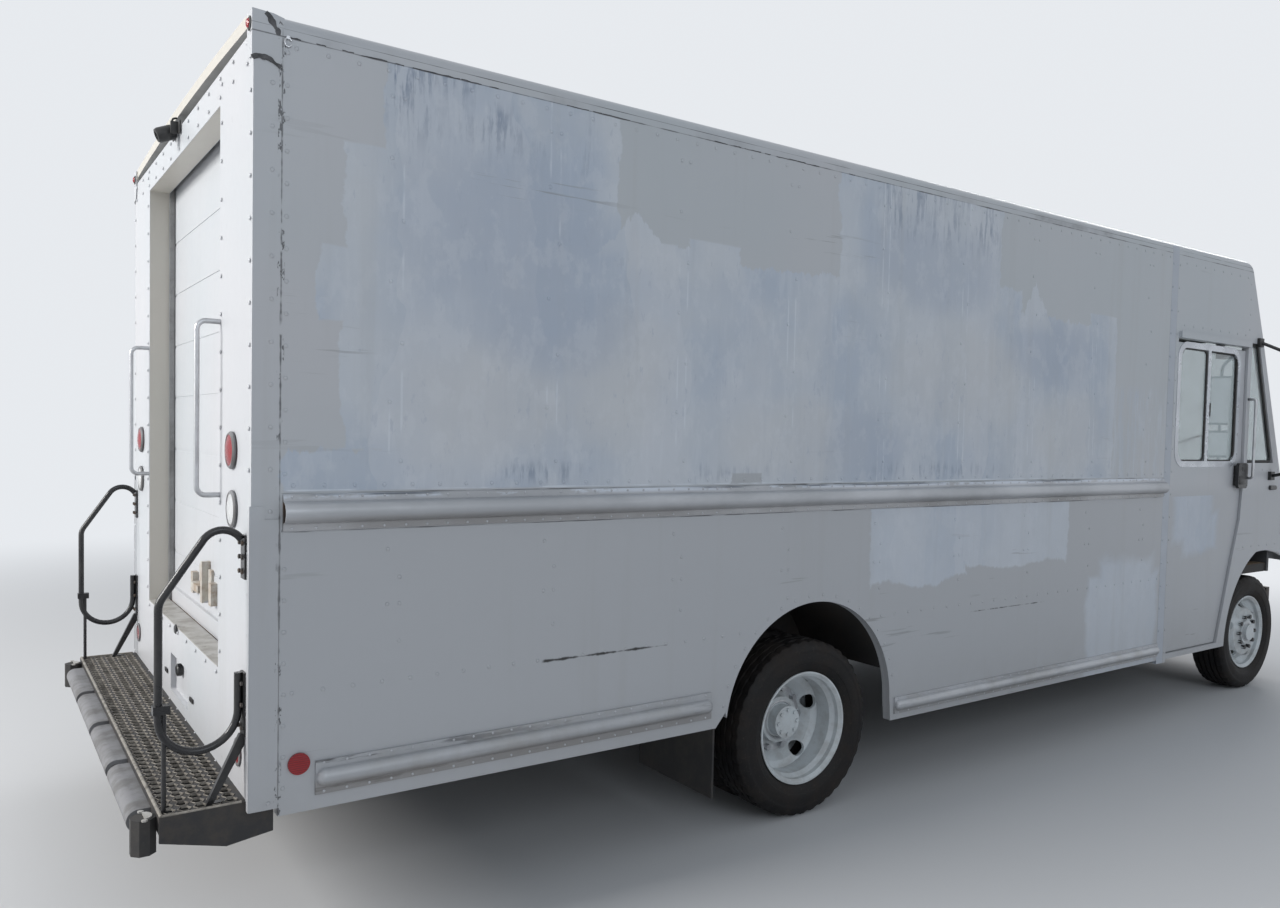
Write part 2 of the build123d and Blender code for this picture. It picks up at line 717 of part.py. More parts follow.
# Hood: the rear half of the nose's top, with a strap to each hinge pin
strap_long = 70
hood_base = 1165
with BuildPart() as hood:
    add(nose_outer)
    add(nose_inner, mode=Mode.SUBTRACT)
    with BuildSketch(Plane.XY.offset(hood_base)):
        with Locations((at((hood_rear + hood_front) / 2), 0)):
            Rectangle(hood_front - hood_rear - 2 * hood_gap, 2 * (hood_half - hood_gap))
    extrude(amount=600, mode=Mode.INTERSECT)
    for name, sign in sides:
        with BuildSketch(Plane.XZ.offset(-sign * hinge_half_at - 15)):
            with Locations((at(hinge_at), hinge_z)):
                Circle(hinge_pin_radius + 4)
            with BuildLine():
                Polyline(
                    (at(hinge_at), hinge_z + 8),
                    (at(hinge_at + strap_long), hinge_z - 5 - strap_long * hood_slope),
                    (at(hinge_at + strap_long), hinge_z - 16 - strap_long * hood_slope),
                    (at(hinge_at + 6), hinge_z - 15),
                    (at(hinge_at + 6), hinge_z - 4), (at(hinge_at), hinge_z), close=True,
                )
            make_face()
            with Locations((at(hinge_at), hinge_z)):
                Circle(hinge_pin_radius + pin_gap, mode=Mode.SUBTRACT)
        extrude(amount=30)
hood.part.label = "hood"
export_step(hood.part, "parts/hood.step")

# Grille: a frame with upright bars behind the nose opening
bar_count = 11
grille_deep = 26
with BuildPart() as grille:
    with BuildSketch(Plane.YZ.offset(at(nose_front - nose_skin))):
        with Locations((0, (grille_bottom + grille_top) / 2)):
            RectangleRounded(2 * (grille_half - seat_gap), grille_top - grille_bottom - 2 * seat_gap, 40)
            RectangleRounded(2 * grille_half - 50, grille_top - grille_bottom - 50, 20, mode=Mode.SUBTRACT)
        with GridLocations((2 * grille_half - 50) / bar_count, 1, bar_count, 1):
            with Locations((0, (grille_bottom + grille_top) / 2)):
                Rectangle(18, grille_top - grille_bottom - 30)
    extrude(amount=grille_deep)
grille.part.label = "grille"
export_step(grille.part, "parts/grille.step")


def domed_lamp(radius, drum, dome):
    # a drum along +X from the origin, closed by a shallow spherical cap
    sphere = (radius ** 2 + dome ** 2) / (2 * dome)
    with BuildPart() as body:
        with Locations((drum + dome - sphere, 0, 0)):
            Sphere(sphere)
        with BuildSketch(Plane.YZ):
            Circle(radius)
        extrude(amount=drum + dome + 1, mode=Mode.INTERSECT)
    return body.part


# Headlamps: a drum with a domed lens
lamp_deep = 54
lamp_dome = 16
lamp_solid = domed_lamp(lamp_radius - seat_gap, lamp_deep, lamp_dome)
with BuildPart() as headlamps:
    for name, sign in sides:
        add(lamp_solid.moved(Location((at(nose_front - lamp_deep - 4), sign * lamp_half_at, lamp_z))))
headlamps.part.label = "headlamps"
export_step(headlamps.part, "parts/headlamps.step")

# Front bumper: a folded channel carried by the frame rails
bumper_half = 960
bumper_bottom = 430
bumper_top = 650
bumper_deep = 90
bumper_thick = 8
with BuildPart() as front_bumper:
    with BuildSketch(Plane.XY.offset(bumper_bottom)):
        with BuildLine():
            Polyline(
                (at(front_reach - bumper_deep), -bumper_half),
                (at(front_reach - 40), -bumper_half),
                (at(front_reach), -bumper_half + 160),
                (at(front_reach), bumper_half - 160),
                (at(front_reach - 40), bumper_half),
                (at(front_reach - bumper_deep), bumper_half),
                close=True,
            )
        make_face()
    extrude(amount=bumper_top - bumper_bottom)
    with BuildSketch(Plane.XY.offset(bumper_bottom + bumper_thick)):
        with BuildLine():
            Polyline(
                (at(front_reach - bumper_deep), -bumper_half + bumper_thick),
                (at(front_reach - 40 - bumper_thick), -bumper_half + bumper_thick),
                (at(front_reach - bumper_thick), -bumper_half + 160),
                (at(front_reach - bumper_thick), bumper_half - 160),
                (at(front_reach - 40 - bumper_thick), bumper_half - bumper_thick),
                (at(front_reach - bumper_deep), bumper_half - bumper_thick),
                close=True,
            )
        make_face()
    extrude(amount=bumper_top - bumper_bottom - 2 * bumper_thick, mode=Mode.SUBTRACT)
front_bumper.part.label = "front_bumper"
export_step(front_bumper.part, "parts/front_bumper.step")

# Ladder frame: channels with cross members and bumper arms
cross_stations = (330, 1500, 2950, 4100, 5300, 5900, nose_front - 140)
cross_wide = 90
cross_high = 110
frame_middle = frame_bottom + frame_deep / 2
deck_deep = 250
deck_edge = 55
arm_root = 330
arm_low = 430
arm_thick = 12
frame_rear_at = rear_wall + seat_gap
frame_front_at = front_reach - bumper_thick - seat_gap
arm_bottom = bumper_bottom + bumper_thick + seat_gap
arm_top = bumper_top - bumper_thick - seat_gap
with BuildPart() as ladder_frame:
    for name, sign in sides:
        with BuildSketch(Plane.YZ.offset(at(frame_rear_at))):
            with Locations((sign * (frame_half - frame_flange / 2), frame_middle)):
                Rectangle(frame_flange, frame_deep)
            with Locations((sign * (frame_half - frame_web - frame_flange / 2), frame_middle)):
                Rectangle(frame_flange, frame_deep - 2 * frame_web, mode=Mode.SUBTRACT)
        extrude(amount=nose_front - nose_skin - seat_gap - frame_rear_at)
        with BuildSketch(Plane.YZ.offset(at(nose_front - nose_skin - 200))):
            with Locations((sign * (frame_half - frame_web / 2), (arm_bottom + arm_top) / 2)):
                Rectangle(frame_web, arm_top - arm_bottom)
        extrude(amount=frame_front_at - nose_front + nose_skin + 200)
        # arm that carries the rear step
        with BuildSketch(Plane.XZ.offset(-sign * (frame_half - frame_web / 2) - arm_thick / 2)):
            with BuildLine():
                Polyline(
                    (at(arm_root), frame_bottom + 1), (at(arm_root), arm_low),
                    (at(-deck_deep + 20), arm_low + 50),
                    (at(-deck_deep + 20), deck_top - deck_edge - seat_gap),
                    (at(rear_wall + 20), deck_top - deck_edge - seat_gap),
                    (at(rear_wall + 20), frame_bottom + 1),
                    close=True,
                )
            make_face()
        extrude(amount=arm_thick)
    for station in cross_stations:
        with BuildSketch(Plane.YZ.offset(at(station - cross_wide / 2))):
            with Locations((0, frame_middle)):
                Rectangle(2 * (frame_half - frame_web), cross_high)
        extrude(amount=cross_wide)
ladder_frame.part.label = "ladder_frame"
export_step(ladder_frame.part, "parts/ladder_frame.step")

# Leaf springs: a stepped pack at each wheel, arched between its hangers
spring_half_at = 385
spring_wide = 70
eye_top = frame_bottom - 10
eye_low = frame_bottom - 24
spring_table = (
    # axle station, half length, pack bottom above ground, pack height
    (rear_axle_at, 760, 470, 84),
    (front_axle_at, 640, 452, 60),
)
with BuildPart() as leaf_springs:
    for station, half_long, bottom, high in spring_table:
        for name, sign in sides:
            rear_end = at(station - half_long)
            front_end = at(station + half_long)
            with BuildSketch(Plane.XZ.offset(-sign * spring_half_at - spring_wide / 2)):
                with BuildLine():
                    ThreePointArc((rear_end, eye_top), (at(station), bottom + high - 20),
                                  (front_end, eye_top))
                    Line((front_end, eye_top), (front_end, eye_low))
                    ThreePointArc((front_end, eye_low), (at(station), bottom + high - 36),
                                  (rear_end, eye_low))
                    Line((rear_end, eye_low), (rear_end, eye_top))
                make_face()
                with Locations((at(station), bottom + (high - 24) / 2)):
                    Rectangle(2 * half_long * 0.5, high - 24)
            extrude(amount=spring_wide)
            for end in (-1, 1):
                with Locations((at(station) + end * (half_long - 20), sign * spring_half_at,
                                frame_bottom - seat_gap - 20)):
                    Box(60, spring_wide, 40)
leaf_springs.part.label = "leaf_springs"
export_step(leaf_springs.part, "parts/leaf_springs.step")

# Rear axle: tapered tube with a differential housing and spindles
axle_z = tyre_radius
rear_tube_radius = 62
spindle_radius = 40
diff_radius = 185
pinion_radius = 70
pinion_reach = 260
hub_inner = 700
with BuildPart() as rear_axle:
    with BuildSketch(Plane.XZ.offset(-hub_inner + 40)):
        with Locations((at(rear_axle_at), axle_z)):
            Circle(rear_tube_radius)
    extrude(amount=2 * (hub_inner - 40))
    with BuildSketch(Plane.XZ.offset(-1010)):
        with Locations((at(rear_axle_at), axle_z)):
            Circle(spindle_radius)
    extrude(amount=2 * 1010)
    with Locations((at(rear_axle_at), 0, axle_z)):
        Sphere(diff_radius)
    with BuildSketch(Plane.YZ.offset(at(rear_axle_at))):
        with Locations((0, axle_z)):
            Circle(pinion_radius)
    extrude(amount=pinion_reach)
    for name, sign in sides:
        pad_top = spring_table[0][2] - seat_gap
        pad_bottom = axle_z + 20
        with Locations((at(rear_axle_at), sign * spring_half_at, (pad_top + pad_bottom) / 2)):
            Box(150, spring_wide, pad_top - pad_bottom)
rear_axle.part.label = "rear_axle"
export_step(rear_axle.part, "parts/rear_axle.step")

# Front axle: an I-beam dropped in the middle, with an eye for each kingpin
beam_wide = 100
eye_radius = 45
eye_high = 96
kingpin_radius = 20
with BuildPart() as front_axle:
    with BuildSketch(Plane.YZ.offset(at(front_axle_at) - beam_wide / 2)):
        with BuildLine():
            Polyline(
                (-kingpin_half, axle_z + 30), (-760, axle_z + 30), (-620, axle_z - 20), (620, axle_z - 20),
                (760, axle_z + 30), (kingpin_half, axle_z + 30), (kingpin_half, axle_z - 40),
                (760, axle_z - 50), (600, axle_z - 110), (-600, axle_z - 110), (-760, axle_z - 50),
                (-kingpin_half, axle_z - 40), close=True,
            )
        make_face()
    extrude(amount=beam_wide)
    # the web is cut back on both faces
    for face in (-1, 1):
        with Locations((at(front_axle_at) + face * (beam_wide / 2 - 16), 0, axle_z - 65)):
            Box(33, 1160, 46, mode=Mode.SUBTRACT)
    for name, sign in sides:
        with BuildSketch(Plane.XY.offset(axle_z - eye_high / 2)):
            with Locations((at(front_axle_at), sign * kingpin_half)):
                Circle(eye_radius)
        extrude(amount=eye_high)
        with BuildSketch(Plane.XY.offset(axle_z - 300)):
            with Locations((at(front_axle_at), sign * (kingpin_half + eye_radius + 60))):
                Rectangle(200, 120)
        extrude(amount=600, mode=Mode.SUBTRACT)
        with BuildSketch(Plane.XY.offset(axle_z - 300)):
            with Locations((at(front_axle_at), sign * kingpin_half)):
                Circle(kingpin_radius + pin_gap)
        extrude(amount=600, mode=Mode.SUBTRACT)
        pad_top = spring_table[1][2] - seat_gap
        pad_bottom = axle_z - 30
        with Locations((at(front_axle_at), sign * spring_half_at, (pad_top + pad_bottom) / 2)):
            Box(beam_wide, spring_wide, pad_top - pad_bottom)
front_axle.part.label = "front_axle"
export_step(front_axle.part, "parts/front_axle.step")

# Knuckles: a fork round the axle eye, its kingpin and the wheel spindle
fork_gap = 1
fork_thick = 32
fork_deep = eye_radius + 28
knuckle_spindle = 34
knuckle_reach = 1120
for side, sign in sides:
    with BuildPart() as knuckle:
        for level in (-1, 1):
            with BuildSketch(Plane.XY.offset(axle_z + level * (eye_high / 2 + fork_gap + fork_thick / 2)
                                             - fork_thick / 2)):
                with Locations((at(front_axle_at), sign * kingpin_half)):
                    Circle(eye_radius)
                with Locations((at(front_axle_at), sign * (kingpin_half + fork_deep / 2))):
                    Rectangle(2 * eye_radius, fork_deep)
            extrude(amount=fork_thick)
        with BuildSketch(Plane.XY.offset(axle_z - eye_high / 2 - fork_gap - fork_thick)):
            with Locations((at(front_axle_at), sign * (kingpin_half + eye_radius + 20))):
                Rectangle(2 * eye_radius, 30)
        extrude(amount=eye_high + 2 * fork_gap + 2 * fork_thick)
        with BuildSketch(Plane.XY.offset(axle_z - eye_high / 2 - fork_gap - fork_thick)):
            with Locations((at(front_axle_at), sign * kingpin_half)):
                Circle(kingpin_radius)
        extrude(amount=eye_high + 2 * fork_gap + 2 * fork_thick)
        with BuildSketch(Plane.XZ.offset(-sign * (kingpin_half + eye_radius + 10))):
            with Locations((at(front_axle_at), axle_z)):
                Circle(knuckle_spindle)
        extrude(amount=-sign * (knuckle_reach - kingpin_half - eye_radius - 10))
    knuckle.part.label = f"knuckle_{side}"
    export_step(knuckle.part, f"parts/knuckle_{side}.step")

# Tyres: rings of facets about the axle; offset is the middle plane from the centre line
bead_radius = rim_radius + seat_gap
tread_half = 88
tyre_facets = 48
bead_half = 78
# the bore's flats stay clear of the round bead seat
bead_outer = (bead_radius + seat_gap / 4) / cos(radians(180 / tyre_facets))


def tyre_solid(offset, station):
    # a ring of flat facets with bulging walls; its tread is smooth here
    half = tyre_wide / 2
    walls = (
        # from the middle plane, radius
        (half, bead_radius + 72), (half - 5, tyre_radius - 36), (tread_half + 8, tyre_radius - 14),
        (tread_half - 4, tyre_radius),
    )
    middle = Plane((at(station), offset, axle_z), z_dir=(0, -1, 0))
    with BuildPart() as tyre:
        for along, radius in (*((-y, r) for y, r in walls), *((y, r) for y, r in reversed(walls))):
            with BuildSketch(middle.offset(along)):
                RegularPolygon(radius, tyre_facets)
        loft(ruled=True)
        for way in (-1, 1):
            with BuildSketch(middle.offset(way * half)):
                RegularPolygon(bead_radius + 72, tyre_facets)
            with BuildSketch(middle.offset(way * bead_half)):
                RegularPolygon(bead_outer, tyre_facets)
            loft(ruled=True, mode=Mode.SUBTRACT)
        with BuildSketch(middle.offset(-half)):
            RegularPolygon(bead_outer, tyre_facets)
        extrude(amount=2 * half, mode=Mode.SUBTRACT)
    return tyre.part


def rim_face(offset, outward, station, disc_at, hub_radius, bowl):
    # rim barrel with flanges, a sloped disc and a flat centre; outward is +1 or -1 along Y
    r = at(station)
    half = rim_wide / 2
    thick = 9
    with BuildSketch(Plane.XY) as section:
        with BuildLine():
            Polyline(
                (r + rim_radius, offset - 78), (r + rim_radius, offset + 78),
                (r + flange_radius, offset + half - 6), (r + flange_radius, offset + half),
                (r + flange_radius - 8, offset + half), (r + rim_radius - thick, offset + 82),
                (r + rim_radius - thick, offset + 60), (r + rim_radius - 24, offset + 40),
                (r + rim_radius - 24, offset - 40), (r + rim_radius - thick, offset - 60),
                (r + rim_radius - thick, offset - 82), (r + flange_radius - 8, offset - half),
                (r + flange_radius, offset - half), (r + flange_radius, offset - half + 6), close=True,
            )
        make_face()
        with BuildLine():
            Polyline(
                (r + rim_radius - 20, offset + outward * bowl), (r + 205, disc_at + outward * 55),
                (r + 165, disc_at + outward * 6), (r + hub_radius, disc_at),
                (r + hub_radius, disc_at + outward * 12), (r + 160, disc_at + outward * 18),
                (r + 196, disc_at + outward * 65), (r + rim_radius - 20, offset + outward * (bowl + 14)),
                close=True,
            )
        make_face()
    return section.sketch.moved(Location((0, 0, axle_z)))


def axle_line(station):
    return Axis((at(station), 0, axle_z), (0, 1, 0))


rear_disc_at = rear_track_half - dual_spacing / 2
hand_holes = 5
lug_count = 10
lug_circle = 112.5
for side, sign in sides:
    outer_tyre = tyre_solid(sign * rear_track_half, rear_axle_at)
    inner_tyre = tyre_solid(sign * (rear_track_half - dual_spacing), rear_axle_at)
    with BuildPart() as rear_tyres:
        add([outer_tyre, inner_tyre])
    rear_tyres.part.label = f"rear_tyres_{side}"
    export_step(rear_tyres.part, f"parts/rear_tyres_{side}.step")

    single_tyre = tyre_solid(sign * front_track_half, front_axle_at)
    with BuildPart() as front_tyre:
        add(single_tyre)
    front_tyre.part.label = f"front_tyre_{side}"
    export_step(front_tyre.part, f"parts/front_tyre_{side}.step")

# Twin rear wheels: discs back to back on the hub, hand holes, studs with nuts, axle cap
rear_hub_radius = 108
cap_radius = 76
cap_reach = 1052
for side, sign in sides:
    outer_rim = rim_face(sign * rear_track_half, sign, rear_axle_at, sign * rear_disc_at,
                         rear_hub_radius - 4, -58)
    inner_rim = rim_face(sign * (rear_track_half - dual_spacing), -sign, rear_axle_at, sign * rear_disc_at,
                         rear_hub_radius - 4, -58)
    with BuildPart() as rear_rims:
        revolve([outer_rim, inner_rim], axis=axle_line(rear_axle_at))
        for turn in range(hand_holes):
            angle = radians(90 + turn * 360 / hand_holes)
            with BuildSketch(Plane.XZ.offset(-sign * (rear_track_half + 120))):
                with Locations((at(rear_axle_at) + 196 * cos(angle), axle_z + 196 * sin(angle))):
                    Ellipse(28, 38, rotation=degrees(angle))
            extrude(amount=sign * (dual_spacing + 240), mode=Mode.SUBTRACT)
        # hub barrel and axle shaft flange
        with BuildSketch(Plane.XZ.offset(-sign * (hub_inner - 30))):
            with Locations((at(rear_axle_at), axle_z)):
                Circle(rear_hub_radius)
        extrude(amount=-sign * (1000 - hub_inner + 30))
        with BuildSketch(Plane.XZ.offset(-sign * 1000)):
            with Locations((at(rear_axle_at), axle_z)):
                Circle(cap_radius)
        extrude(amount=-sign * (cap_reach - 1000))
        with BuildSketch(Plane.XZ.offset(-sign * (hub_inner - 30))):
            with Locations((at(rear_axle_at), axle_z)):
                Circle(rear_tube_radius + 2)
        extrude(amount=-sign * 36, mode=Mode.SUBTRACT)
        with BuildSketch(Plane.XZ.offset(-sign * (hub_inner - 30))):
            with Locations((at(rear_axle_at), axle_z)):
                Circle(spindle_radius + pin_gap)
        extrude(amount=-sign * (1012 - hub_inner + 30), mode=Mode.SUBTRACT)
        with BuildSketch(Plane.XZ.offset(-sign * (rear_disc_at + 11))):
            with Locations((at(rear_axle_at), axle_z)):
                with PolarLocations(142, lug_count):
                    RegularPolygon(15, 6)
        extrude(amount=-sign * 30)
        with BuildSketch(Plane.XZ.offset(-sign * cap_reach)):
            with Locations((at(rear_axle_at), axle_z)):
                with PolarLocations(58, 8):
                    RegularPolygon(9, 6)
        extrude(amount=-sign * 9)
    rear_rims.part.label = f"rear_rims_{side}"
    export_step(rear_rims.part, f"parts/rear_rims_{side}.step")

# Front wheels: the same rim turned round, so that the disc bulges outwards
front_disc_at = front_track_half + 88
front_hub_radius = 86
front_cap_reach = front_track_half + 122
for side, sign in sides:
    single_rim = rim_face(sign * front_track_half, -sign, front_axle_at, sign * front_disc_at,
                          front_hub_radius - 4, -58)
    with BuildPart() as front_rim:
        revolve(single_rim, axis=axle_line(front_axle_at))
        for turn in range(hand_holes):
            angle = radians(90 + turn * 360 / hand_holes)
            with BuildSketch(Plane.XZ.offset(-sign * (front_track_half + 120))):
                with Locations((at(front_axle_at) + 196 * cos(angle), axle_z + 196 * sin(angle))):
                    Ellipse(28, 38, rotation=degrees(angle))
            extrude(amount=sign * 240, mode=Mode.SUBTRACT)
        with BuildSketch(Plane.XZ.offset(-sign * (kingpin_half + eye_radius + 60))):
            with Locations((at(front_axle_at), axle_z)):
                Circle(front_hub_radius)
        extrude(amount=-sign * (front_cap_reach - 20 - kingpin_half - eye_radius - 60))
        with BuildSketch(Plane.XZ.offset(-sign * (front_cap_reach - 20))):
            with Locations((at(front_axle_at), axle_z)):
                Circle(58)
        extrude(amount=-sign * 20)
        with BuildSketch(Plane.XZ.offset(-sign * (kingpin_half + eye_radius + 60))):
            with Locations((at(front_axle_at), axle_z)):
                Circle(knuckle_spindle + pin_gap)
        extrude(amount=-sign * (knuckle_reach + 2 - kingpin_half - eye_radius - 60), mode=Mode.SUBTRACT)
        with BuildSketch(Plane.XZ.offset(-sign * (front_disc_at - 8))):
            with Locations((at(front_axle_at), axle_z)):
                with PolarLocations(lug_circle, lug_count):
                    RegularPolygon(15, 6)
        extrude(amount=-sign * 30)
    front_rim.part.label = f"front_rim_{side}"
    export_step(front_rim.part, f"parts/front_rim_{side}.step")

# Rear step: a perforated deck in a light edge frame, on two brackets
deck_half = 1190
deck_thick = 6
deck_mesh = 45
plate_thick = 10
plate_low = 440
plate_front = 80
with BuildPart() as step_deck:
    with BuildSketch(Plane.XY.offset(deck_top - deck_thick)):
        with Locations((at(-deck_deep / 2 - seat_gap / 2), 0)):
            Rectangle(deck_deep - seat_gap, 2 * deck_half)
    extrude(amount=deck_thick)
    with BuildSketch(Plane.XY.offset(deck_top - deck_edge)):
        with Locations((at(-deck_deep / 2 - seat_gap / 2), 0)):
            Rectangle(deck_deep - seat_gap, 2 * deck_half)
            Rectangle(deck_deep - 24, 2 * deck_half - 24, mode=Mode.SUBTRACT)
        for y in (-780, -260, 260, 780):
            with Locations((at(-deck_deep / 2), y)):
                Rectangle(deck_deep - 4, 30)
    extrude(amount=deck_edge - deck_thick)
    with BuildSketch(Plane.XY.offset(deck_top - deck_thick)):
        with Locations((at(-deck_deep / 2), 0)):
            with GridLocations(deck_mesh, deck_mesh, 5, 52):
                RegularPolygon(deck_mesh / 2 - 3.5, 6)
    extrude(amount=deck_thick, mode=Mode.SUBTRACT)
    # end plates, which run forward under the corner posts
    for name, sign in sides:
        with BuildSketch(Plane.XZ.offset(-sign * (deck_half - plate_thick / 2) - plate_thick / 2)):
            with BuildLine():
                Polyline(
                    (at(-deck_deep), deck_top - deck_edge + 1), (at(-deck_deep), plate_low + 50),
                    (at(-60), plate_low), (at(plate_front), plate_low + 20),
                    (at(plate_front), valance_bottom - seat_gap), (at(-seat_gap), valance_bottom - seat_gap),
                    (at(-seat_gap), deck_top - deck_edge + 1), close=True,
                )
            make_face()
        extrude(amount=plate_thick)
step_deck.part.label = "step_deck"
export_step(step_deck.part, "parts/step_deck.step")

# Rubber bumpers: hollow D sections along the step's edge, and a block at each end
rubber_radius = 35
rubber_long = 480
block_radius = (rear_reach - deck_deep - seat_gap) / 2
block_wide = 130
with BuildPart() as step_bumpers:
    for y in (-795, -265, 265, 795):
        with BuildSketch(Plane.XZ.offset(-y - rubber_long / 2)):
            with Locations((at(-rear_reach + rubber_radius), deck_top - 52)):
                Circle(rubber_radius)
            with Locations((at((-rear_reach + rubber_radius - deck_deep - seat_gap) / 2), deck_top - 52)):
                Rectangle(rear_reach - rubber_radius - deck_deep - seat_gap, 2 * rubber_radius)
            with Locations((at(-rear_reach + rubber_radius), deck_top - 52)):
                Circle(rubber_radius - 14, mode=Mode.SUBTRACT)
        extrude(amount=rubber_long)
    for name, sign in sides:
        with BuildSketch(Plane.XY.offset(deck_top - 120)):
            with Locations((at(-deck_deep - seat_gap - block_radius), sign * (deck_half - block_wide / 2))):
                RegularPolygon(block_radius, 8, major_radius=False, rotation=22.5)
        extrude(amount=110)
step_bumpers.part.label = "step_bumpers"
export_step(step_bumpers.part, "parts/step_bumpers.step")

# Handrails beside the step and grab handles beside the doorway
handrail_half_at = 1150
handrail_radius = 12
handrail_out = 248
hoop_in = 20                 # the hoop's inner leg, behind the rear face
hoop_low = 742
hoop_knee = 1208
hoop_peak = (70, 1474)
hoop_bend = 66
leg_at = 232
leg_radius = 7
clamp_z = 886
strut_foot = 88
strut_wide = 20
cab_grip_at = 6575           # grab tube ahead of the cab door
cab_grip_out = 50
cab_grip_z = (1528, 2072)
handle_y = 757
rail_feet = ((1268, 1406), (771, 973))
foot_plate = 8
grip_radius = 9
grip_bottom = 1508
grip_top = 2102
grip_out = 75


def bent_tube(points, bend, radius):
    # a round tube along straight runs with filleted corners
    with BuildPart() as piece:
        with BuildLine():
            path = FilletPolyline(*points, radius=bend)
        with BuildSketch(Plane(path @ 0, z_dir=path % 0)):
            Circle(radius)
        sweep(path=path)
    return piece.part


def hoop_tube(y):
    # from the lower bracket down, round a half turn, up, and over to the upper bracket
    curl = (handrail_out - hoop_in) / 2
    start = (at(-hoop_in), y, rail_feet[1][1])
    inner = (at(-hoop_in), y, hoop_low + curl)
    outer = (at(-handrail_out), y, hoop_low + curl)
    with BuildPart() as piece:
        with BuildLine() as route:
            Line(start, inner)
            ThreePointArc(inner, (at(-hoop_in - curl), y, hoop_low), outer)
            FilletPolyline(outer, (at(-handrail_out), y, hoop_knee), (at(-hoop_peak[0]), y, hoop_peak[1]),
                           (at(-handrail_radius - 1), y, rail_feet[0][1] - 12), radius=hoop_bend)
        with BuildSketch(Plane(start, z_dir=(0, 0, -1))):
            Circle(handrail_radius)
        sweep(path=route.wires()[0])
    return piece.part


rail_tubes = []
for name, sign in sides:
    y = sign * handrail_half_at
    rail_tubes.append(hoop_tube(y))
    y = sign * (handle_y + 20)
    grip_points = (
        (at(-seat_gap), y, grip_bottom), (at(-grip_out), y, grip_bottom),
        (at(-grip_out), y, grip_top), (at(-seat_gap), y, grip_top),
    )
    rail_tubes.append(bent_tube(grip_points, 30, grip_radius))
    skin_y = sign * (half_width + seat_gap)
    out_y = sign * (half_width + cab_grip_out)
    low_z, high_z = cab_grip_z
    cab_grip_points = (
        (at(cab_grip_at), skin_y, low_z), (at(cab_grip_at), out_y, low_z),
        (at(cab_grip_at), out_y, high_z), (at(cab_grip_at), skin_y, high_z),
    )
    rail_tubes.append(bent_tube(cab_grip_points, 18, grip_radius))
with BuildPart() as handrails:
    add(rail_tubes)
    for name, sign in sides:
        # thin leg under the clamp, and the flat strut from the lower bracket
        with BuildSketch(Plane.XY.offset(deck_top + seat_gap)):
            with Locations((at(-leg_at), sign * handrail_half_at)):
                Circle(leg_radius)
        extrude(amount=clamp_z - deck_top)
        with Locations((at(-(leg_at + handrail_out) / 2), sign * handrail_half_at, clamp_z)):
            Box(handrail_out - leg_at + 2 * handrail_radius + 8, 2 * handrail_radius + 8, 26)
        with BuildSketch(Plane.XZ.offset(-sign * handrail_half_at - strut_wide / 2)):
            with BuildLine():
                Polyline(
                    (at(-2), rail_feet[1][0] + 6), (at(-16), rail_feet[1][0] + 6),
                    (at(-strut_foot - 24), deck_top + 5), (at(-strut_foot - 24), deck_top + seat_gap),
                    (at(-strut_foot + 20), deck_top + seat_gap), (at(-strut_foot + 20), deck_top + 5),
                    (at(-strut_foot - 4), deck_top + 5), (at(-2), rail_feet[1][0] - 30), close=True,
                )
            make_face()
        extrude(amount=strut_wide)
        for bottom, top in rail_feet:
            with Locations((at(-(foot_plate + seat_gap) / 2), sign * handrail_half_at, (bottom + top) / 2)):
                Box(foot_plate - seat_gap, 50, top - bottom)
handrails.part.label = "handrails"
export_step(handrails.part, "parts/handrails.step")

# Rub rails: half-round extrusions on a flat base, along both sides
rail_table = (
    # rear station, front station, base bottom, base top, round radius, ends closed by quarter balls
    (95, 5475, 1420, 1536, 36, False),
    (202, 1844, 561, 672, 30, True),
    (2996, 5475, 408, 489, 26, True),
)
rail_wall = 4
rail_base = 8
with BuildPart() as rub_rails:
    for name, sign in sides:
        for rear, front, bottom, top, radius, closed in rail_table:
            end = radius if closed else 0
            axis_y = sign * (half_width + seat_gap + rail_base - 2)
            axis_z = (bottom + top) / 2
            with BuildSketch(Plane.YZ.offset(at(rear + end))):
                with Locations((axis_y, axis_z)):
                    Circle(radius)
                with Locations((axis_y - sign * radius, axis_z)):
                    Rectangle(2 * radius, 3 * radius, mode=Mode.SUBTRACT)
            extrude(amount=front - rear - 2 * end)
            if closed:
                for station, tilt in ((rear + end, -1), (front - end, 1)):
                    with BuildSketch(Plane.XY.offset(axis_z)):
                        with Locations((at(station), axis_y)):
                            Circle(radius)
                            with Locations((-tilt * radius, 0), (0, -sign * radius)):
                                Rectangle(2 * radius, 2 * radius, mode=Mode.SUBTRACT)
                    revolve(axis=Axis((at(station), axis_y, axis_z), (1, 0, 0)), revolution_arc=360)
                    behind = axis_y - sign * (radius + rail_base + 4) / 2
                    with Locations((at(station), behind, axis_z)):
                        Box(3 * radius, radius + rail_base, 3 * radius, mode=Mode.SUBTRACT)
            with Locations((at((rear + front) / 2), sign * (half_width + seat_gap + rail_base / 2), axis_z)):
                Box(front - rear, rail_base, top - bottom)
            if not closed:
                # the rear end is open, with the extrusion's wall showing
                with BuildSketch(Plane.YZ.offset(at(rear))):
                    with Locations((axis_y, axis_z)):
                        Circle(radius - rail_wall)
                    with Locations((axis_y - sign * (radius - rail_base + 2), axis_z)):
                        Rectangle(2 * radius, 3 * radius, mode=Mode.SUBTRACT)
                extrude(amount=2 * radius, mode=Mode.SUBTRACT)
rub_rails.part.label = "rub_rails"
export_step(rub_rails.part, "parts/rub_rails.step")

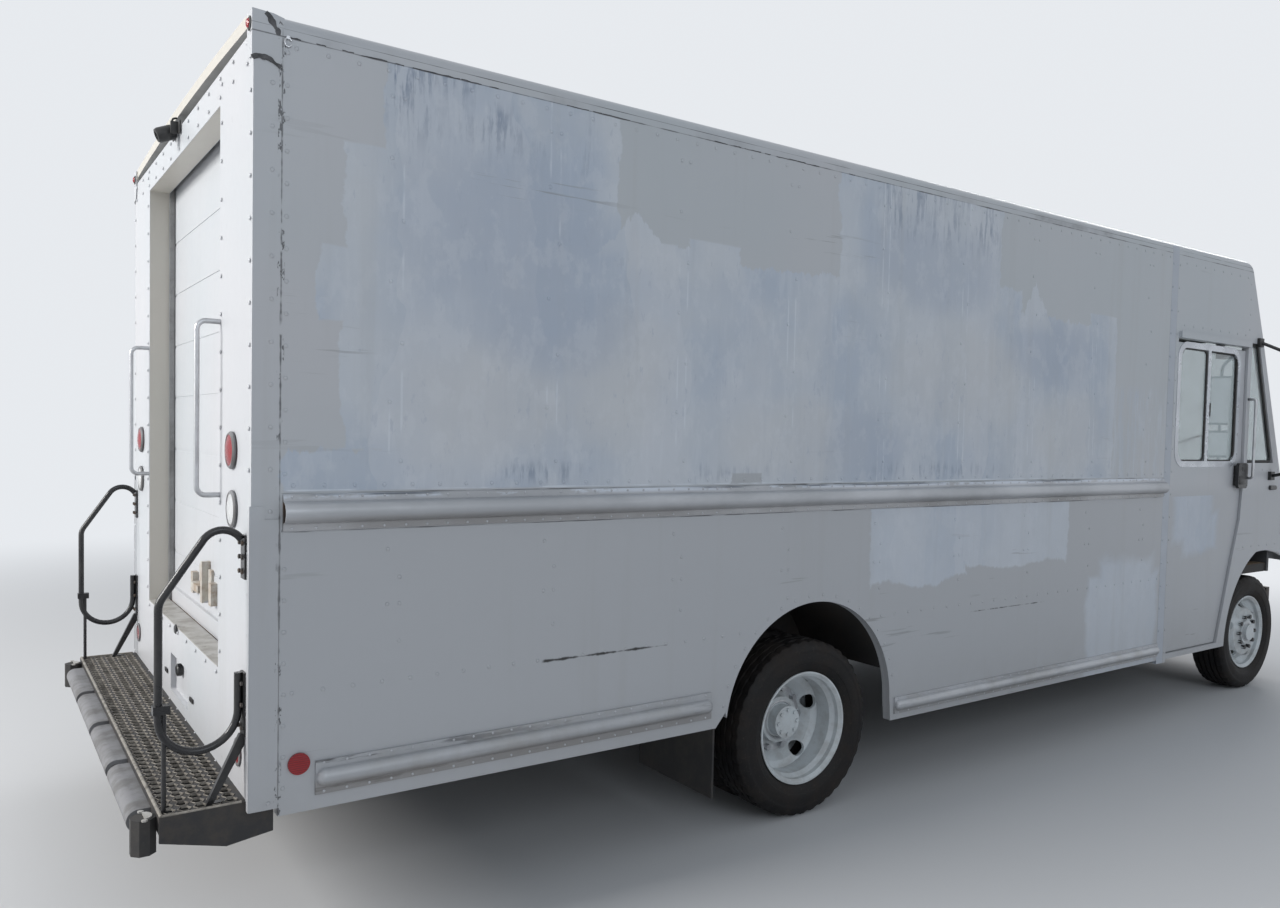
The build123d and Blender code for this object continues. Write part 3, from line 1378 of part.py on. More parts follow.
# Rear lamps: domed discs on the posts, and small reflectors
lamp_table = (
    # from centre line, height, radius, standing out
    (975, 1667, 51, 22),
    (985, 1475, 51, 18),
    (1070, 694, 35, 8),
)
side_reflector = (150, 672, 35)
rear_lenses = [domed_lamp(radius, proud * 0.6, proud * 0.4) for y, z, radius, proud in lamp_table]
with BuildPart() as rear_lamps:
    for name, sign in sides:
        for (y, z, radius, proud), lens in zip(lamp_table, rear_lenses):
            add(lens.moved(Location((at(-seat_gap), sign * y, z), (0, 0, 180))))
        with BuildSketch(side_plane(sign, -seat_gap)):
            with Locations((at(side_reflector[0]), side_reflector[1])):
                Circle(side_reflector[2])
        extrude(amount=-sign * 7)
rear_lamps.part.label = "rear_lamps"
export_step(rear_lamps.part, "parts/rear_lamps.step")

# Side marker lamps: low domed ovals ahead of the quarter windows
marker_at = (7004, 1454)
marker_long = 110
marker_high = 32
marker_out = 14
with BuildPart() as side_lamps:
    for name, sign in sides:
        with BuildSketch(side_plane(sign, -seat_gap)):
            with Locations((at(marker_at[0]), marker_at[1])):
                SlotOverall(marker_long, marker_high)
        extrude(amount=-sign * marker_out)
        rims = side_lamps.faces().sort_by(Axis.Y)[0 if sign < 0 else -1].edges()
        fillet(rims, radius=marker_out * 0.55)
side_lamps.part.label = "side_lamps"
export_step(side_lamps.part, "parts/side_lamps.step")

# Mirrors: two heads on a bent tube at each side of the windscreen
mirror_out = 1480
mirror_foot = 20
mirror_at = 6900
mirror_arm_points = ((6700, 2470), (6960, 1540))
mirror_heads = ((1900, 2260), (1660, 1860))


def mirror_head(high):
    # a rounded shell, deeper than its glass
    with BuildPart() as head:
        Box(head_deep, head_wide, high)
        fillet(head.edges(), radius=head_round)
    return head.part


head_deep = 64
head_wide = 200
head_round = 24
arm_tubes = []
head_solids = [(mirror_head(top - bottom), (bottom + top) / 2) for bottom, top in mirror_heads]
for name, sign in sides:
    root = sign * (half_width + mirror_foot - 4)
    upper, lower = mirror_arm_points
    arm_points = (
        (at(upper[0]), root, upper[1]), (at(mirror_at), sign * mirror_out, 2330),
        (at(mirror_at), sign * mirror_out, 1600), (at(lower[0]), root, lower[1]),
    )
    arm_tubes.append(bent_tube(arm_points, 60, 11))
with BuildPart() as mirrors:
    add(arm_tubes)
    for name, sign in sides:
        for head_solid, height in head_solids:
            add(head_solid.moved(Location((at(mirror_at), sign * mirror_out, height))))
        for station, z in mirror_arm_points:
            with Locations((at(station), sign * (half_width + seat_gap + mirror_foot / 2), z)):
                Box(60, mirror_foot, 60)
mirrors.part.label = "mirrors"
export_step(mirrors.part, "parts/mirrors.step")

# Bulkhead between load space and cab, with a walk-through doorway
bulkhead_thick = 30
bulkhead_half = hanger_inner - move_gap
walk_half = 360
walk_top = 2750
with BuildPart() as bulkhead:
    with BuildSketch(Plane.YZ.offset(at(bulkhead_at))):
        with Locations((0, (floor_top + seat_gap + rail_top - roof_skin) / 2)):
            Rectangle(2 * bulkhead_half, rail_top - roof_skin - floor_top - 2 * seat_gap)
        with Locations((0, (floor_top + walk_top) / 2)):
            Rectangle(2 * walk_half, walk_top - floor_top + 2, mode=Mode.SUBTRACT)
    extrude(amount=bulkhead_thick)
bulkhead.part.label = "bulkhead"
export_step(bulkhead.part, "parts/bulkhead.step")

# Steering column: its foot sits in a bore of the dashboard
wheel_y = 620
wheel_tilt = 35
column_radius = 18
column_long = 330
column_foot = (6862, 1402)
column_plane = Plane(origin=(at(column_foot[0]), wheel_y, column_foot[1]),
                     x_dir=(0, 1, 0), z_dir=(-cos(radians(wheel_tilt)), 0, sin(radians(wheel_tilt))))

# Firewall and dashboard below the windscreen, with the engine cover
dash_deep = 260
cover_half = 395
with BuildPart() as dashboard:
    with BuildSketch(Plane.YZ.offset(at(firewall_at + seat_gap))):
        with Locations((0, (frame_top + belt) / 2)):
            Rectangle(2 * (half_width - wall - seat_gap), belt - frame_top)
        with Locations((0, frame_top + 200)):
            Rectangle(2 * tunnel_half, 420, mode=Mode.SUBTRACT)
    extrude(amount=30)
    with BuildSketch(Plane.XZ.offset(-(half_width - wall - seat_gap))):
        with BuildLine():
            Polyline(
                (at(firewall_at + 1), belt - 30), (at(firewall_at - dash_deep), belt - 60),
                (at(firewall_at - dash_deep - 20), belt - 200), (at(firewall_at - 100), belt - 330),
                (at(firewall_at + 1), belt - 330), close=True,
            )
        make_face()
    extrude(amount=2 * (half_width - wall - seat_gap))
    with BuildSketch(column_plane):
        Circle(column_radius + move_gap)
    extrude(amount=200, mode=Mode.SUBTRACT)
dashboard.part.label = "dashboard"
export_step(dashboard.part, "parts/dashboard.step")

with BuildPart() as engine_cover:
    with BuildSketch(Plane.XY.offset(floor_top + seat_gap)):
        with Locations((at((tunnel_rear - 40 + firewall_at) / 2), 0)):
            Rectangle(firewall_at - tunnel_rear + 40, 2 * cover_half)
    extrude(amount=belt - 330 - seat_gap - floor_top - seat_gap)
    with BuildSketch(Plane.XY.offset(floor_top)):
        with Locations((at((tunnel_rear + firewall_at + 20) / 2), 0)):
            Rectangle(firewall_at - tunnel_rear + 20, 2 * (cover_half - 30))
    extrude(amount=belt - 330 - floor_top - 30, mode=Mode.SUBTRACT)
engine_cover.part.label = "engine_cover"
export_step(engine_cover.part, "parts/engine_cover.step")

# Steering wheel on its column, left of the engine cover
with BuildPart() as steering_wheel:
    with BuildSketch(column_plane.offset(seat_gap)):
        Circle(column_radius)
    extrude(amount=column_long)
    with BuildSketch(column_plane.offset(column_long - 30)):
        Circle(225)
        Circle(196, mode=Mode.SUBTRACT)
        with PolarLocations(0, 3, start_angle=90):
            with Locations((105, 0)):
                Rectangle(200, 34)
        Circle(50)
    extrude(amount=26)
steering_wheel.part.label = "steering_wheel"
export_step(steering_wheel.part, "parts/steering_wheel.step")

# Driver's seat: a cushion and a back on a pedestal
seat_at = 6280
with BuildPart() as driver_seat:
    with BuildSketch(Plane.XY.offset(floor_top + seat_gap)):
        with Locations((at(seat_at), wheel_y)):
            Rectangle(340, 340)
    extrude(amount=330)
    with BuildSketch(Plane.XY.offset(floor_top + seat_gap + 330)):
        with Locations((at(seat_at), wheel_y)):
            RectangleRounded(480, 500, 60)
    extrude(amount=130)
    with BuildSketch(Plane.XZ.offset(-wheel_y - 240)):
        with BuildLine():
            Polyline(
                (at(seat_at - 240), floor_top + 400), (at(seat_at - 120), floor_top + 400),
                (at(seat_at - 230), floor_top + 1080), (at(seat_at - 320), floor_top + 1080), close=True,
            )
        make_face()
    extrude(amount=480)
driver_seat.part.label = "driver_seat"
export_step(driver_seat.part, "parts/driver_seat.step")

# Engine block, gearbox and propeller shaft
engine_half = 310
engine_at = front_axle_at + 155
engine_long = 780
gearbox_at = front_axle_at - 485
gearbox_long = 520
shaft_radius = 45
with BuildPart() as driveline:
    with BuildSketch(Plane.XY.offset(frame_bottom - 40)):
        with Locations((at(engine_at), 0)):
            Rectangle(engine_long, 2 * engine_half)
    extrude(amount=600)
    for name, sign in sides:
        foot_reach = frame_half - frame_flange - seat_gap
        with Locations((at(engine_at), sign * (engine_half + foot_reach) / 2, frame_bottom + 80)):
            Box(160, foot_reach - engine_half, 60)
    with Locations((at(gearbox_at), 0, frame_bottom + 75)):
        Box(gearbox_long, 340, 290)
    shaft_rear = (rear_axle_at + pinion_reach, axle_z)
    shaft_front = (gearbox_at - gearbox_long / 2 + 20, frame_bottom - 5)
    shaft_run = sqrt((shaft_front[0] - shaft_rear[0]) ** 2 + (shaft_front[1] - shaft_rear[1]) ** 2)
    with BuildSketch(Plane(origin=(at(shaft_front[0]), 0, shaft_front[1]), x_dir=(0, 1, 0),
                           z_dir=(shaft_rear[0] - shaft_front[0], 0, shaft_rear[1] - shaft_front[1]))):
        Circle(shaft_radius)
    shaft_slope = (shaft_front[1] - shaft_rear[1]) / (shaft_front[0] - shaft_rear[0])
    extrude(amount=shaft_run - shaft_radius * shaft_slope - seat_gap)
driveline.part.label = "driveline"
export_step(driveline.part, "parts/driveline.step")

# Fuel tank on the left frame rail, exhaust on the right
tank_long = 1100
tank_rear = 3500
tank_wide = 500
tank_high = 340
tank_top = frame_top - rib_high - 20
with BuildPart() as fuel_tank:
    with BuildSketch(Plane.YZ.offset(at(tank_rear))):
        with Locations((frame_half + seat_gap + tank_wide / 2, tank_top - tank_high / 2)):
            RectangleRounded(tank_wide, tank_high, 80)
    extrude(amount=tank_long)
fuel_tank.part.label = "fuel_tank"
export_step(fuel_tank.part, "parts/fuel_tank.step")

muffler_radius = 105
muffler_rear = 4000
muffler_long = 900
tailpipe_radius = 42
tailpipe_end = 140
with BuildPart() as exhaust:
    with BuildSketch(Plane.YZ.offset(at(muffler_rear))):
        with Locations((-frame_half - seat_gap - muffler_radius, frame_bottom + 60)):
            Circle(muffler_radius)
    extrude(amount=muffler_long)
    with BuildSketch(Plane.YZ.offset(at(tailpipe_end))):
        with Locations((-frame_half - seat_gap - muffler_radius, frame_bottom + 100)):
            Circle(tailpipe_radius)
            Circle(tailpipe_radius - 4, mode=Mode.SUBTRACT)
    extrude(amount=muffler_rear - tailpipe_end)
exhaust.part.label = "exhaust"
export_step(exhaust.part, "parts/exhaust.step")

# Mud flaps behind the rear wheels
flap_at = rear_axle_at - arch_radius - 30
with BuildPart() as mud_flaps:
    for name, sign in sides:
        with Locations((at(flap_at), sign * 900, (190 + floor_top - floor_deep) / 2)):
            Box(10, 540, floor_top - floor_deep - 190 - 2 * seat_gap)
mud_flaps.part.label = "mud_flaps"
export_step(mud_flaps.part, "parts/mud_flaps.step")
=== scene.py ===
import math

import bmesh
import bpy
from mathutils import Matrix, Vector, noise


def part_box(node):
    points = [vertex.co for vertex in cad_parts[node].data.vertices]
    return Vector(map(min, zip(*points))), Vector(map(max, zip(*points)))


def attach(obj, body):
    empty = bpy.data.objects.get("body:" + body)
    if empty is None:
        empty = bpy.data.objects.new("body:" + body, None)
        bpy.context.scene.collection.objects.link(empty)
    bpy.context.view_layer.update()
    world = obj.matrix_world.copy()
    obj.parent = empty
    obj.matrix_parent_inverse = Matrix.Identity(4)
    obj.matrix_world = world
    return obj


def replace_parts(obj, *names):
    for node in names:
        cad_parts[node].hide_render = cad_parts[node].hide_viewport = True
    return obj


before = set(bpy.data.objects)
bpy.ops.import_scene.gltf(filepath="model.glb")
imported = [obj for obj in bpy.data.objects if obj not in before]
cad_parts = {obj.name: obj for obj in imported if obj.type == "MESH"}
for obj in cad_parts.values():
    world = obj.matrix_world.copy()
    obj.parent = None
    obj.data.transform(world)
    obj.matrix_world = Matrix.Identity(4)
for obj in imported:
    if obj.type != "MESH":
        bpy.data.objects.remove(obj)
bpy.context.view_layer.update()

# Driving places, in metres, read from the frame
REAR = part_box("rear_frame")[0].x
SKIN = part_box("side_panel_left")[1].y
RAIL_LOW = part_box("side_panel_left")[1].z
DOOR_FACE = SKIN - 0.017
FRAME_FACE = DOOR_FACE + 0.003
DECK_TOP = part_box("step_deck")[1].z
SIDES = (("r", "right", -1), ("l", "left", 1))
PAIR = (-1, 1)
BACK, AHEAD, UP = (-1, 0, 0), (1, 0, 0), (0, 0, 1)

# Places along the body, measured forward from its rear face, and heights
REAR_AXLE = 2.450
FRONT_AXLE = 6.885
AXLE_Z = 0.408
POST_REAR = 5.4815
POST_FRONT = 5.5605


def at(station):
    """X of a place measured forward from the body's rear face."""
    return REAR + station


# Materials
class Value:
    """A number that varies over a surface, with plain arithmetic."""

    def __init__(self, paint, socket):
        self.paint = paint
        self.socket = socket

    def __add__(self, other):
        return self.paint.math("ADD", self, other)

    def __sub__(self, other):
        return self.paint.math("SUBTRACT", self, other)

    def __rsub__(self, other):
        return self.paint.math("SUBTRACT", other, self)

    def __mul__(self, other):
        return self.paint.math("MULTIPLY", self, other)

    def __truediv__(self, other):
        return self.paint.math("DIVIDE", self, other)

    def __abs__(self):
        return self.paint.math("ABSOLUTE", self)

    __radd__ = __add__
    __rmul__ = __mul__


class Paint:
    """A material's node tree with short calls for the nodes used here."""

    def __init__(self, name):
        self.material = bpy.data.materials.new(name)
        self.material.use_nodes = True
        self.tree = self.material.node_tree
        self.tree.nodes.clear()
        out = self.tree.nodes.new("ShaderNodeOutputMaterial")
        self.shader = self.tree.nodes.new("ShaderNodeBsdfPrincipled")
        self.tree.links.new(self.shader.outputs[0], out.inputs[0])
        self.coords = self.tree.nodes.new("ShaderNodeTexCoord").outputs["Object"]
        split = self.add("ShaderNodeSeparateXYZ", self.coords)
        self.x, self.y, self.z = (Value(self, socket) for socket in split.outputs)

    def put(self, socket, value):
        if isinstance(value, Value):
            value = value.socket
        if isinstance(value, bpy.types.NodeSocket):
            self.tree.links.new(value, socket)
        elif isinstance(value, tuple) and len(value) == 3 and socket.type == "RGBA":
            socket.default_value = (*value, 1.0)
        else:
            socket.default_value = value

    def add(self, kind, *inputs, **settings):
        node = self.tree.nodes.new(kind)
        for key, value in settings.items():
            setattr(node, key, value)
        for socket, value in zip(node.inputs, inputs):
            self.put(socket, value)
        return node

    def math(self, operation, *inputs, clamp=False):
        node = self.add("ShaderNodeMath", *inputs, operation=operation, use_clamp=clamp)
        return Value(self, node.outputs[0])

    def most(self, values):
        """The largest of several values, and at least zero."""
        total = 0.0
        for value in values:
            total = self.math("MAXIMUM", total, value)
        return total

    def cell(self, value):
        """A steady random number, -0.5 to 0.5, for each whole step of a value."""
        node = self.add("ShaderNodeTexWhiteNoise", noise_dimensions="1D")
        self.put(node.inputs["W"], self.math("FLOOR", value))
        return Value(self, node.outputs["Value"]) - 0.5

    def noise(self, scale, detail=3.0, rough=0.55, stretch=None):
        where = self.coords
        if stretch:
            where = self.add("ShaderNodeMapping", where).outputs[0]
            where.node.inputs["Scale"].default_value = stretch
        node = self.add("ShaderNodeTexNoise", where)
        for key, value in (("Scale", scale), ("Detail", detail), ("Roughness", rough)):
            node.inputs[key].default_value = value
        return Value(self, node.outputs["Fac"])

    def centred(self, *settings):
        """Noise about zero."""
        return self.noise(*settings) - 0.5

    def step(self, value, low, high):
        """A soft step from 0 at low to 1 at high."""
        node = self.add("ShaderNodeMapRange", value, low, high, interpolation_type="SMOOTHSTEP")
        return Value(self, node.outputs[0])

    def patches(self, low, high, *settings):
        """Noise cut to patches by a soft step."""
        return self.step(self.noise(*settings), low, high)

    def band(self, value, low, high, other_low, other_high):
        """Two soft steps of one value, multiplied."""
        return self.step(value, low, high) * self.step(value, other_low, other_high)

    def mix(self, factor, a, b):
        """One colour into another: a Mix node's colours are inputs 6 and 7 and output 2."""
        node = self.add("ShaderNodeMix", data_type="RGBA")
        for index, value in ((0, factor), (6, a), (7, b)):
            self.put(node.inputs[index], value)
        return node.outputs[2]

    def layers(self, colour, *coats):
        """Lays coats, each a factor and a colour, over a colour in turn."""
        for factor, coat in coats:
            colour = self.mix(factor, colour, coat)
        return colour

    def bump(self, height, strength, distance):
        node = self.add("ShaderNodeBump")
        for key, value in (("Strength", strength), ("Distance", distance), ("Height", height)):
            self.put(node.inputs[key], value)
        self.put(self.shader.inputs["Normal"], node.outputs[0])

    def finish(self, colour, roughness, metallic=0.0, **extra):
        extra.update(Base_Color=colour, Roughness=roughness, Metallic=metallic)
        for key, value in extra.items():
            self.put(self.shader.inputs[key.replace("_", " ")], value)
        return self.material


def body_paint():
    """White panels: touch-up paint rolled on in ragged patches, grime in the seams, scuffs and streaks."""
    p = Paint("white_paint")
    station = p.x - REAR
    bristles = p.centred(46.0, 3.0, 0.6, (1, 1, 0.10))
    u = station + p.centred(3.3, 4.0, 0.6) * 0.13 + p.centred(23.0, 4.0, 0.65) * 0.040
    v = p.z + p.centred(2.7, 3.0) * 0.080 + p.centred(17.0, 4.0, 0.6) * 0.035 + bristles * 0.065
    clean_v = p.z + p.centred(5.0, 3.0) * 0.020
    loose = p.z + p.centred(2.3, 4.0, 0.6) * 0.22 + bristles * 0.03
    out = abs(p.y)
    side = p.step(out, SKIN - 0.030, SKIN - 0.020)

    def block(x0, x1, z0, z1, soft=0.005, height=v):
        across = p.math("MINIMUM", u - x0, x1 - u)
        inside = p.math("MINIMUM", across, p.math("MINIMUM", height - z0, z1 - height))
        return p.step(inside, -soft, soft)

    def blocks(edges, *settings):
        return p.most([block(*edge, *settings) for edge in edges])

    def peak(x, half, low, high):
        fall = abs(u + p.centred(14.0, 3.0) * 0.07 - x) * ((high - low) / half) + bristles * 0.08
        return p.step(high - fall - clean_v, -0.006, 0.006) * p.step(clean_v, low - 0.10, low - 0.02)

    def spot(x, z, wide, high):
        across, upright = (station - x) / wide, (p.z - z) / high
        return p.step(across * across + upright * upright + p.centred(2.4, 4.0, 0.6) * 1.6, 1.3, 0.1)

    def spots(places):
        return p.most([spot(*place) for place in places])

    foot = 1.40
    rolled = p.most([block(x0, x1, foot, top) for x0, x1, top in (
        (0.42, 1.335, 3.1), (0.10, 0.44, 1.675), (1.30, 1.65, 2.490), (1.60, 1.94, 2.50), (1.93, 2.54, 2.465),
        (2.53, 3.73, 3.1), (3.72, 3.92, 2.545), (3.90, 4.62, 2.43),
    )] + [block(4.60, 4.87, foot, 2.49, 0.005, clean_v)])
    rear_edges = [(0.285, 0.43, 1.68, 2.665), (0.205, 0.30, 2.09, 2.33)]
    edges = [(1.25, 1.345, 2.46, 3.1), (1.33, 1.62, 2.30, 2.50), (1.67, 1.93, 2.30, 2.535),
             (4.76, 4.875, foot, 2.49)]
    last_edge = (2.53, 2.68, 2.30, 2.88)
    peaks = p.most([peak(1.43, 0.125, 2.49, 2.610), peak(4.05, 0.13, 2.42, 2.61)])
    fresh = p.most([blocks([*rear_edges, *edges, last_edge], 0.005, clean_v), peaks])
    faded = p.most([block(x0 - 0.05, x1 - 0.02, z0 + 0.10, z1 + 0.05, 0.10)
                    for x0, x1, z0, z1 in (*rear_edges, last_edge)]
                   + [block(x0 + 0.03, x1 + 0.05, z0 + 0.10, z1 + 0.05, 0.09) for x0, x1, z0, z1 in edges])
    above = p.step(p.z, 1.541, 1.549) * p.step(p.z, RAIL_LOW + 0.001, RAIL_LOW - 0.004)
    lower = blocks([
        (2.80, 3.55, 1.04, 1.60, 0.010), (3.50, 4.44, 1.08, 1.60, 0.010), (4.665, 5.452, 0.20, 0.98, 0.030),
        (4.80, 5.38, 0.90, 1.07, 0.045), (5.66, 6.16, 1.12, 1.6, 0.050), (5.80, 6.24, 1.04, 1.3, 0.040),
    ], loose) * p.band(p.z, 1.418, 1.412, 0.30, 0.32)
    brushed = p.noise(30.0, 4.0, 0.65, (1, 1, 0.12))
    faint = block(4.86, 5.46, 1.50, 2.08, 0.04) * p.step(brushed, 0.42, 0.62) * 0.75
    cover = p.most([p.most([rolled, fresh, faint]) * above, lower]) * side

    # base coat, greener and warmer in broad clouds, darker under the rub rail, yellowed on the rear roof rail
    # and in the doorway's lining
    rear_rail = (p.step(station, 0.05, 0.03) * p.step(p.z, RAIL_LOW + 0.012, RAIL_LOW + 0.020)
                 * p.step(out, 1.160, 1.155))
    lining = (p.band(station, 0.003, 0.006, 0.088, 0.085) * p.step(out, 0.80, 0.78)
              * p.band(p.z, 0.89, 0.90, 2.90, 2.88))
    base = p.layers(
        (0.478, 0.503, 0.528),
        (p.patches(0.35, 0.65, 0.55, 3.0, 0.5), (0.518, 0.520, 0.542)),
        (p.step(p.z, 1.52, 1.40) * side, (0.446, 0.456, 0.478)),
        (p.most([rear_rail, lining]) * 0.75, (0.560, 0.520, 0.445)))

    # touch-up coat: thin blue grey, warm clouds where it is older, white where it is fresh
    lanes = p.cell((station + p.centred(1.3, 4.0) * 0.5) / 0.23)
    warm = spots([(0.78, 1.86, 0.42, 0.26), (3.45, 2.05, 0.55, 0.30), (2.35, 1.72, 0.45, 0.22),
                  (1.35, 1.95, 0.30, 0.30), (4.45, 1.80, 0.40, 0.28)])
    bluer = spots([(0.85, 2.45, 0.50, 0.32), (2.75, 1.72, 0.30, 0.20), (4.25, 2.25, 0.42, 0.22),
                   (1.05, 2.15, 0.40, 0.20), (3.20, 2.60, 0.55, 0.25)])
    scraped = p.patches(0.47, 0.60, 36.0, 4.0, 0.72, (1, 1, 0.13))
    patchy = p.patches(0.36, 0.62, 3.2, 4.0, 0.6)
    top_edge = p.step(p.z, 2.62, 2.90) * blocks([(0.40, 1.20, 2.4, 3.1), (2.60, 3.73, 2.4, 3.1)], 0.05)
    lower_edge = p.step(abs(p.z - 1.60), 0.06, 0.0) * spots(
        [(0.95, 1.60, 0.30, 0.1), (3.3, 1.60, 0.5, 0.1), (1.9, 1.60, 0.3, 0.1)])
    thin = p.math("MULTIPLY", (top_edge + lower_edge * 0.8) * scraped * patchy, 0.9, clamp=True)
    tone = p.layers(
        (0.445, 0.500, 0.585),
        (p.patches(0.38, 0.62, 0.95, 4.0, 0.62, (1, 1, 0.8)), (0.555, 0.585, 0.630)),
        (p.step(lanes + p.centred(3.4, 3.0, 0.7), -0.05, 0.45) * 0.55, (0.590, 0.615, 0.665)),
        (p.step(brushed, 0.50, 0.76) * 0.34, (0.650, 0.680, 0.730)),
        (warm * 0.50, (0.590, 0.592, 0.600)),
        (bluer * 0.60, (0.400, 0.450, 0.540)),
        (thin, (0.215, 0.260, 0.350)),
        (p.most([faded, peaks * 0.7]) * above * 0.62, (0.610, 0.630, 0.660)),
        (p.patches(0.50, 0.62, 10.0, 4.0, 0.72, (1, 1, 0.7)) * 0.26, (0.650, 0.672, 0.712)),
        (p.patches(0.60, 0.68, 34.0, 3.0, 0.7, (1, 1, 0.4)) * patchy * 0.42, (0.385, 0.430, 0.515)),
        (lower * 0.45, (0.570, 0.605, 0.665)))
    thick = p.centred(5.0, 4.0, 0.7) * 0.5 + 0.93

    # pale runs under the posts' rivets, a grey square above the rail, fine scratches at the rear
    pitch = 0.597
    off_post = abs(p.math("FRACT", (station - 0.1625) / pitch) - 0.5) * pitch - 0.021
    off_rivet = abs(off_post) + abs(p.centred(9.0)) * 0.012
    runs = p.step(off_rivet, 0.006, 0.002) * p.patches(0.50, 0.58, 5.5, 3.0, 0.6, (1, 1, 0.6)) * above * cover
    square = block(1.925, 2.085, 1.545, 1.590, 0.004, p.z) * side
    scratch = p.patches(0.60, 0.66, 46.0, 3.0, 0.6, (0.05, 1, 1)) * side * spots(
        [(0.20, 2.06, 0.22, 0.13), (1.05, 2.62, 0.35, 0.05), (3.10, 0.77, 0.40, 0.07),
         (2.55, 2.62, 0.30, 0.05)])

    def line(value, place, half, gap_scale=7.0, hold=0.42):
        """A dark line that wanders and breaks off, where the value is near the place."""
        near = abs(value - place) + p.noise(gap_scale, 3.0, 0.7) * (2.0 * half)
        return (p.step(near, 1.6 * half, 0.9 * half)
                * p.patches(hold - 0.08, hold + 0.05, gap_scale * 1.7, 2.0, 0.5))

    # dark seams at the corner post, the roof rail, the rub rail and the door post; torn slots on the right
    along_rail = p.band(station, 0.09, 0.10, 5.484, 5.474)
    seams = p.most([
        line(station, 0.0885, 0.007, 9.0, 0.36) * p.step(p.z, 3.0, 2.9),
        p.step(abs(station - 0.0875), 0.013, 0.009)
        * p.patches(0.55, 0.60, 42.0, 3.0, 0.75, (1, 1, 0.45)) * p.patches(0.44, 0.52, 3.1, 3.0),
        line(p.z, RAIL_LOW - 0.003, 0.0055, 5.0, 0.30),
        line(p.z, RAIL_LOW + 0.022, 0.0030, 2.0, 0.40),
        line(p.z, 1.539, 0.004, 3.0, 0.46) * along_rail,
        line(p.z, 1.416, 0.004, 3.0, 0.46) * along_rail,
        line(station, POST_REAR, 0.0030, 2.0, 0.20),
        line(station, POST_FRONT, 0.0035, 2.0, 0.20),
    ]) * side
    torn = p.most([
        line(p.z, 0.897, 0.010, 11.0, 0.36) * p.band(station, 1.03, 1.05, 1.62, 1.60),
        line(p.z, 0.858, 0.007, 11.0, 0.44) * p.band(station, 3.55, 3.57, 4.24, 4.22),
    ]) * p.step(p.y, 0.0, -0.02)
    scuffs = (p.patches(0.665, 0.70, 26.0, 3.0, 0.6, (0.06, 1, 1)) * p.patches(0.50, 0.62, 1.3, 2.0)
              * (p.step(p.z, 1.5, 0.6) * 0.40 + 0.12))
    splash = p.step(p.z, 0.80, 0.38) * (p.noise(5.0, 3.0, 0.7) * 0.9 - 0.10)
    smoke = p.step(abs(p.z - (RAIL_LOW + 0.012)), 0.03, 0.0) * p.patches(0.50, 0.72, 2.2, 4.0, 0.6) * side
    smear = line(p.z, 1.5475, 0.006, 4.0, 0.44) * side * p.band(station, 4.9, 4.7, 0.10, 0.12)

    # aluminium post between the load space and the cab door
    post = p.band(station, POST_REAR, POST_REAR + 0.001, POST_FRONT, POST_FRONT - 0.001) * side
    metal = p.mix(p.noise(8.0, 4.0), (0.375, 0.405, 0.460), (0.470, 0.500, 0.550))
    colour = p.layers(
        base,
        (p.math("MULTIPLY", cover, thick, clamp=True), tone),
        (runs * 0.45, (0.70, 0.73, 0.78)),
        (square * 0.8, (0.405, 0.415, 0.430)),
        (scratch * 0.55, (0.25, 0.255, 0.265)),
        (p.patches(0.52, 0.74, 11.0, 4.0, 0.6, (1, 1, 0.05)) * 0.12, (0.36, 0.35, 0.335)),
        (p.math("MULTIPLY", splash, 0.40, clamp=True), (0.27, 0.25, 0.225)),
        (smoke * 0.6, (0.12, 0.12, 0.13)),
        (scuffs, (0.17, 0.165, 0.16)),
        (seams * 0.86, (0.055, 0.055, 0.06)),
        (smear * 0.8, (0.70, 0.74, 0.80)),
        (torn, (0.03, 0.03, 0.03)),
        (post, metal))
    # the bump reads few noises, because each is worked out three times for it
    p.bump(p.noise(1.9, 2.0) + brushed * 0.022, 0.35, 0.012)
    return p.finish(colour, cover * 0.18 + 0.34 + p.noise(30.0, 3.0) * 0.10)


def worn_paint(name, light, dark, rough, scale=6.0, amount=0.5, metallic=0.0, bump=0.15):
    """A painted or bare surface that varies softly, with dirt gathered in broad patches."""
    p = Paint(name)
    patch = p.patches(0.38, 0.68, scale, 5.0, 0.62)
    fine = p.noise(scale * 14, 3.0, 0.6)
    colour = p.layers(light, (patch * amount, dark), (p.step(fine, 0.56, 0.72) * 0.22, dark))
    p.bump(fine + patch, bump, 0.0015)
    return p.finish(colour, patch * 0.14 + rough, metallic)


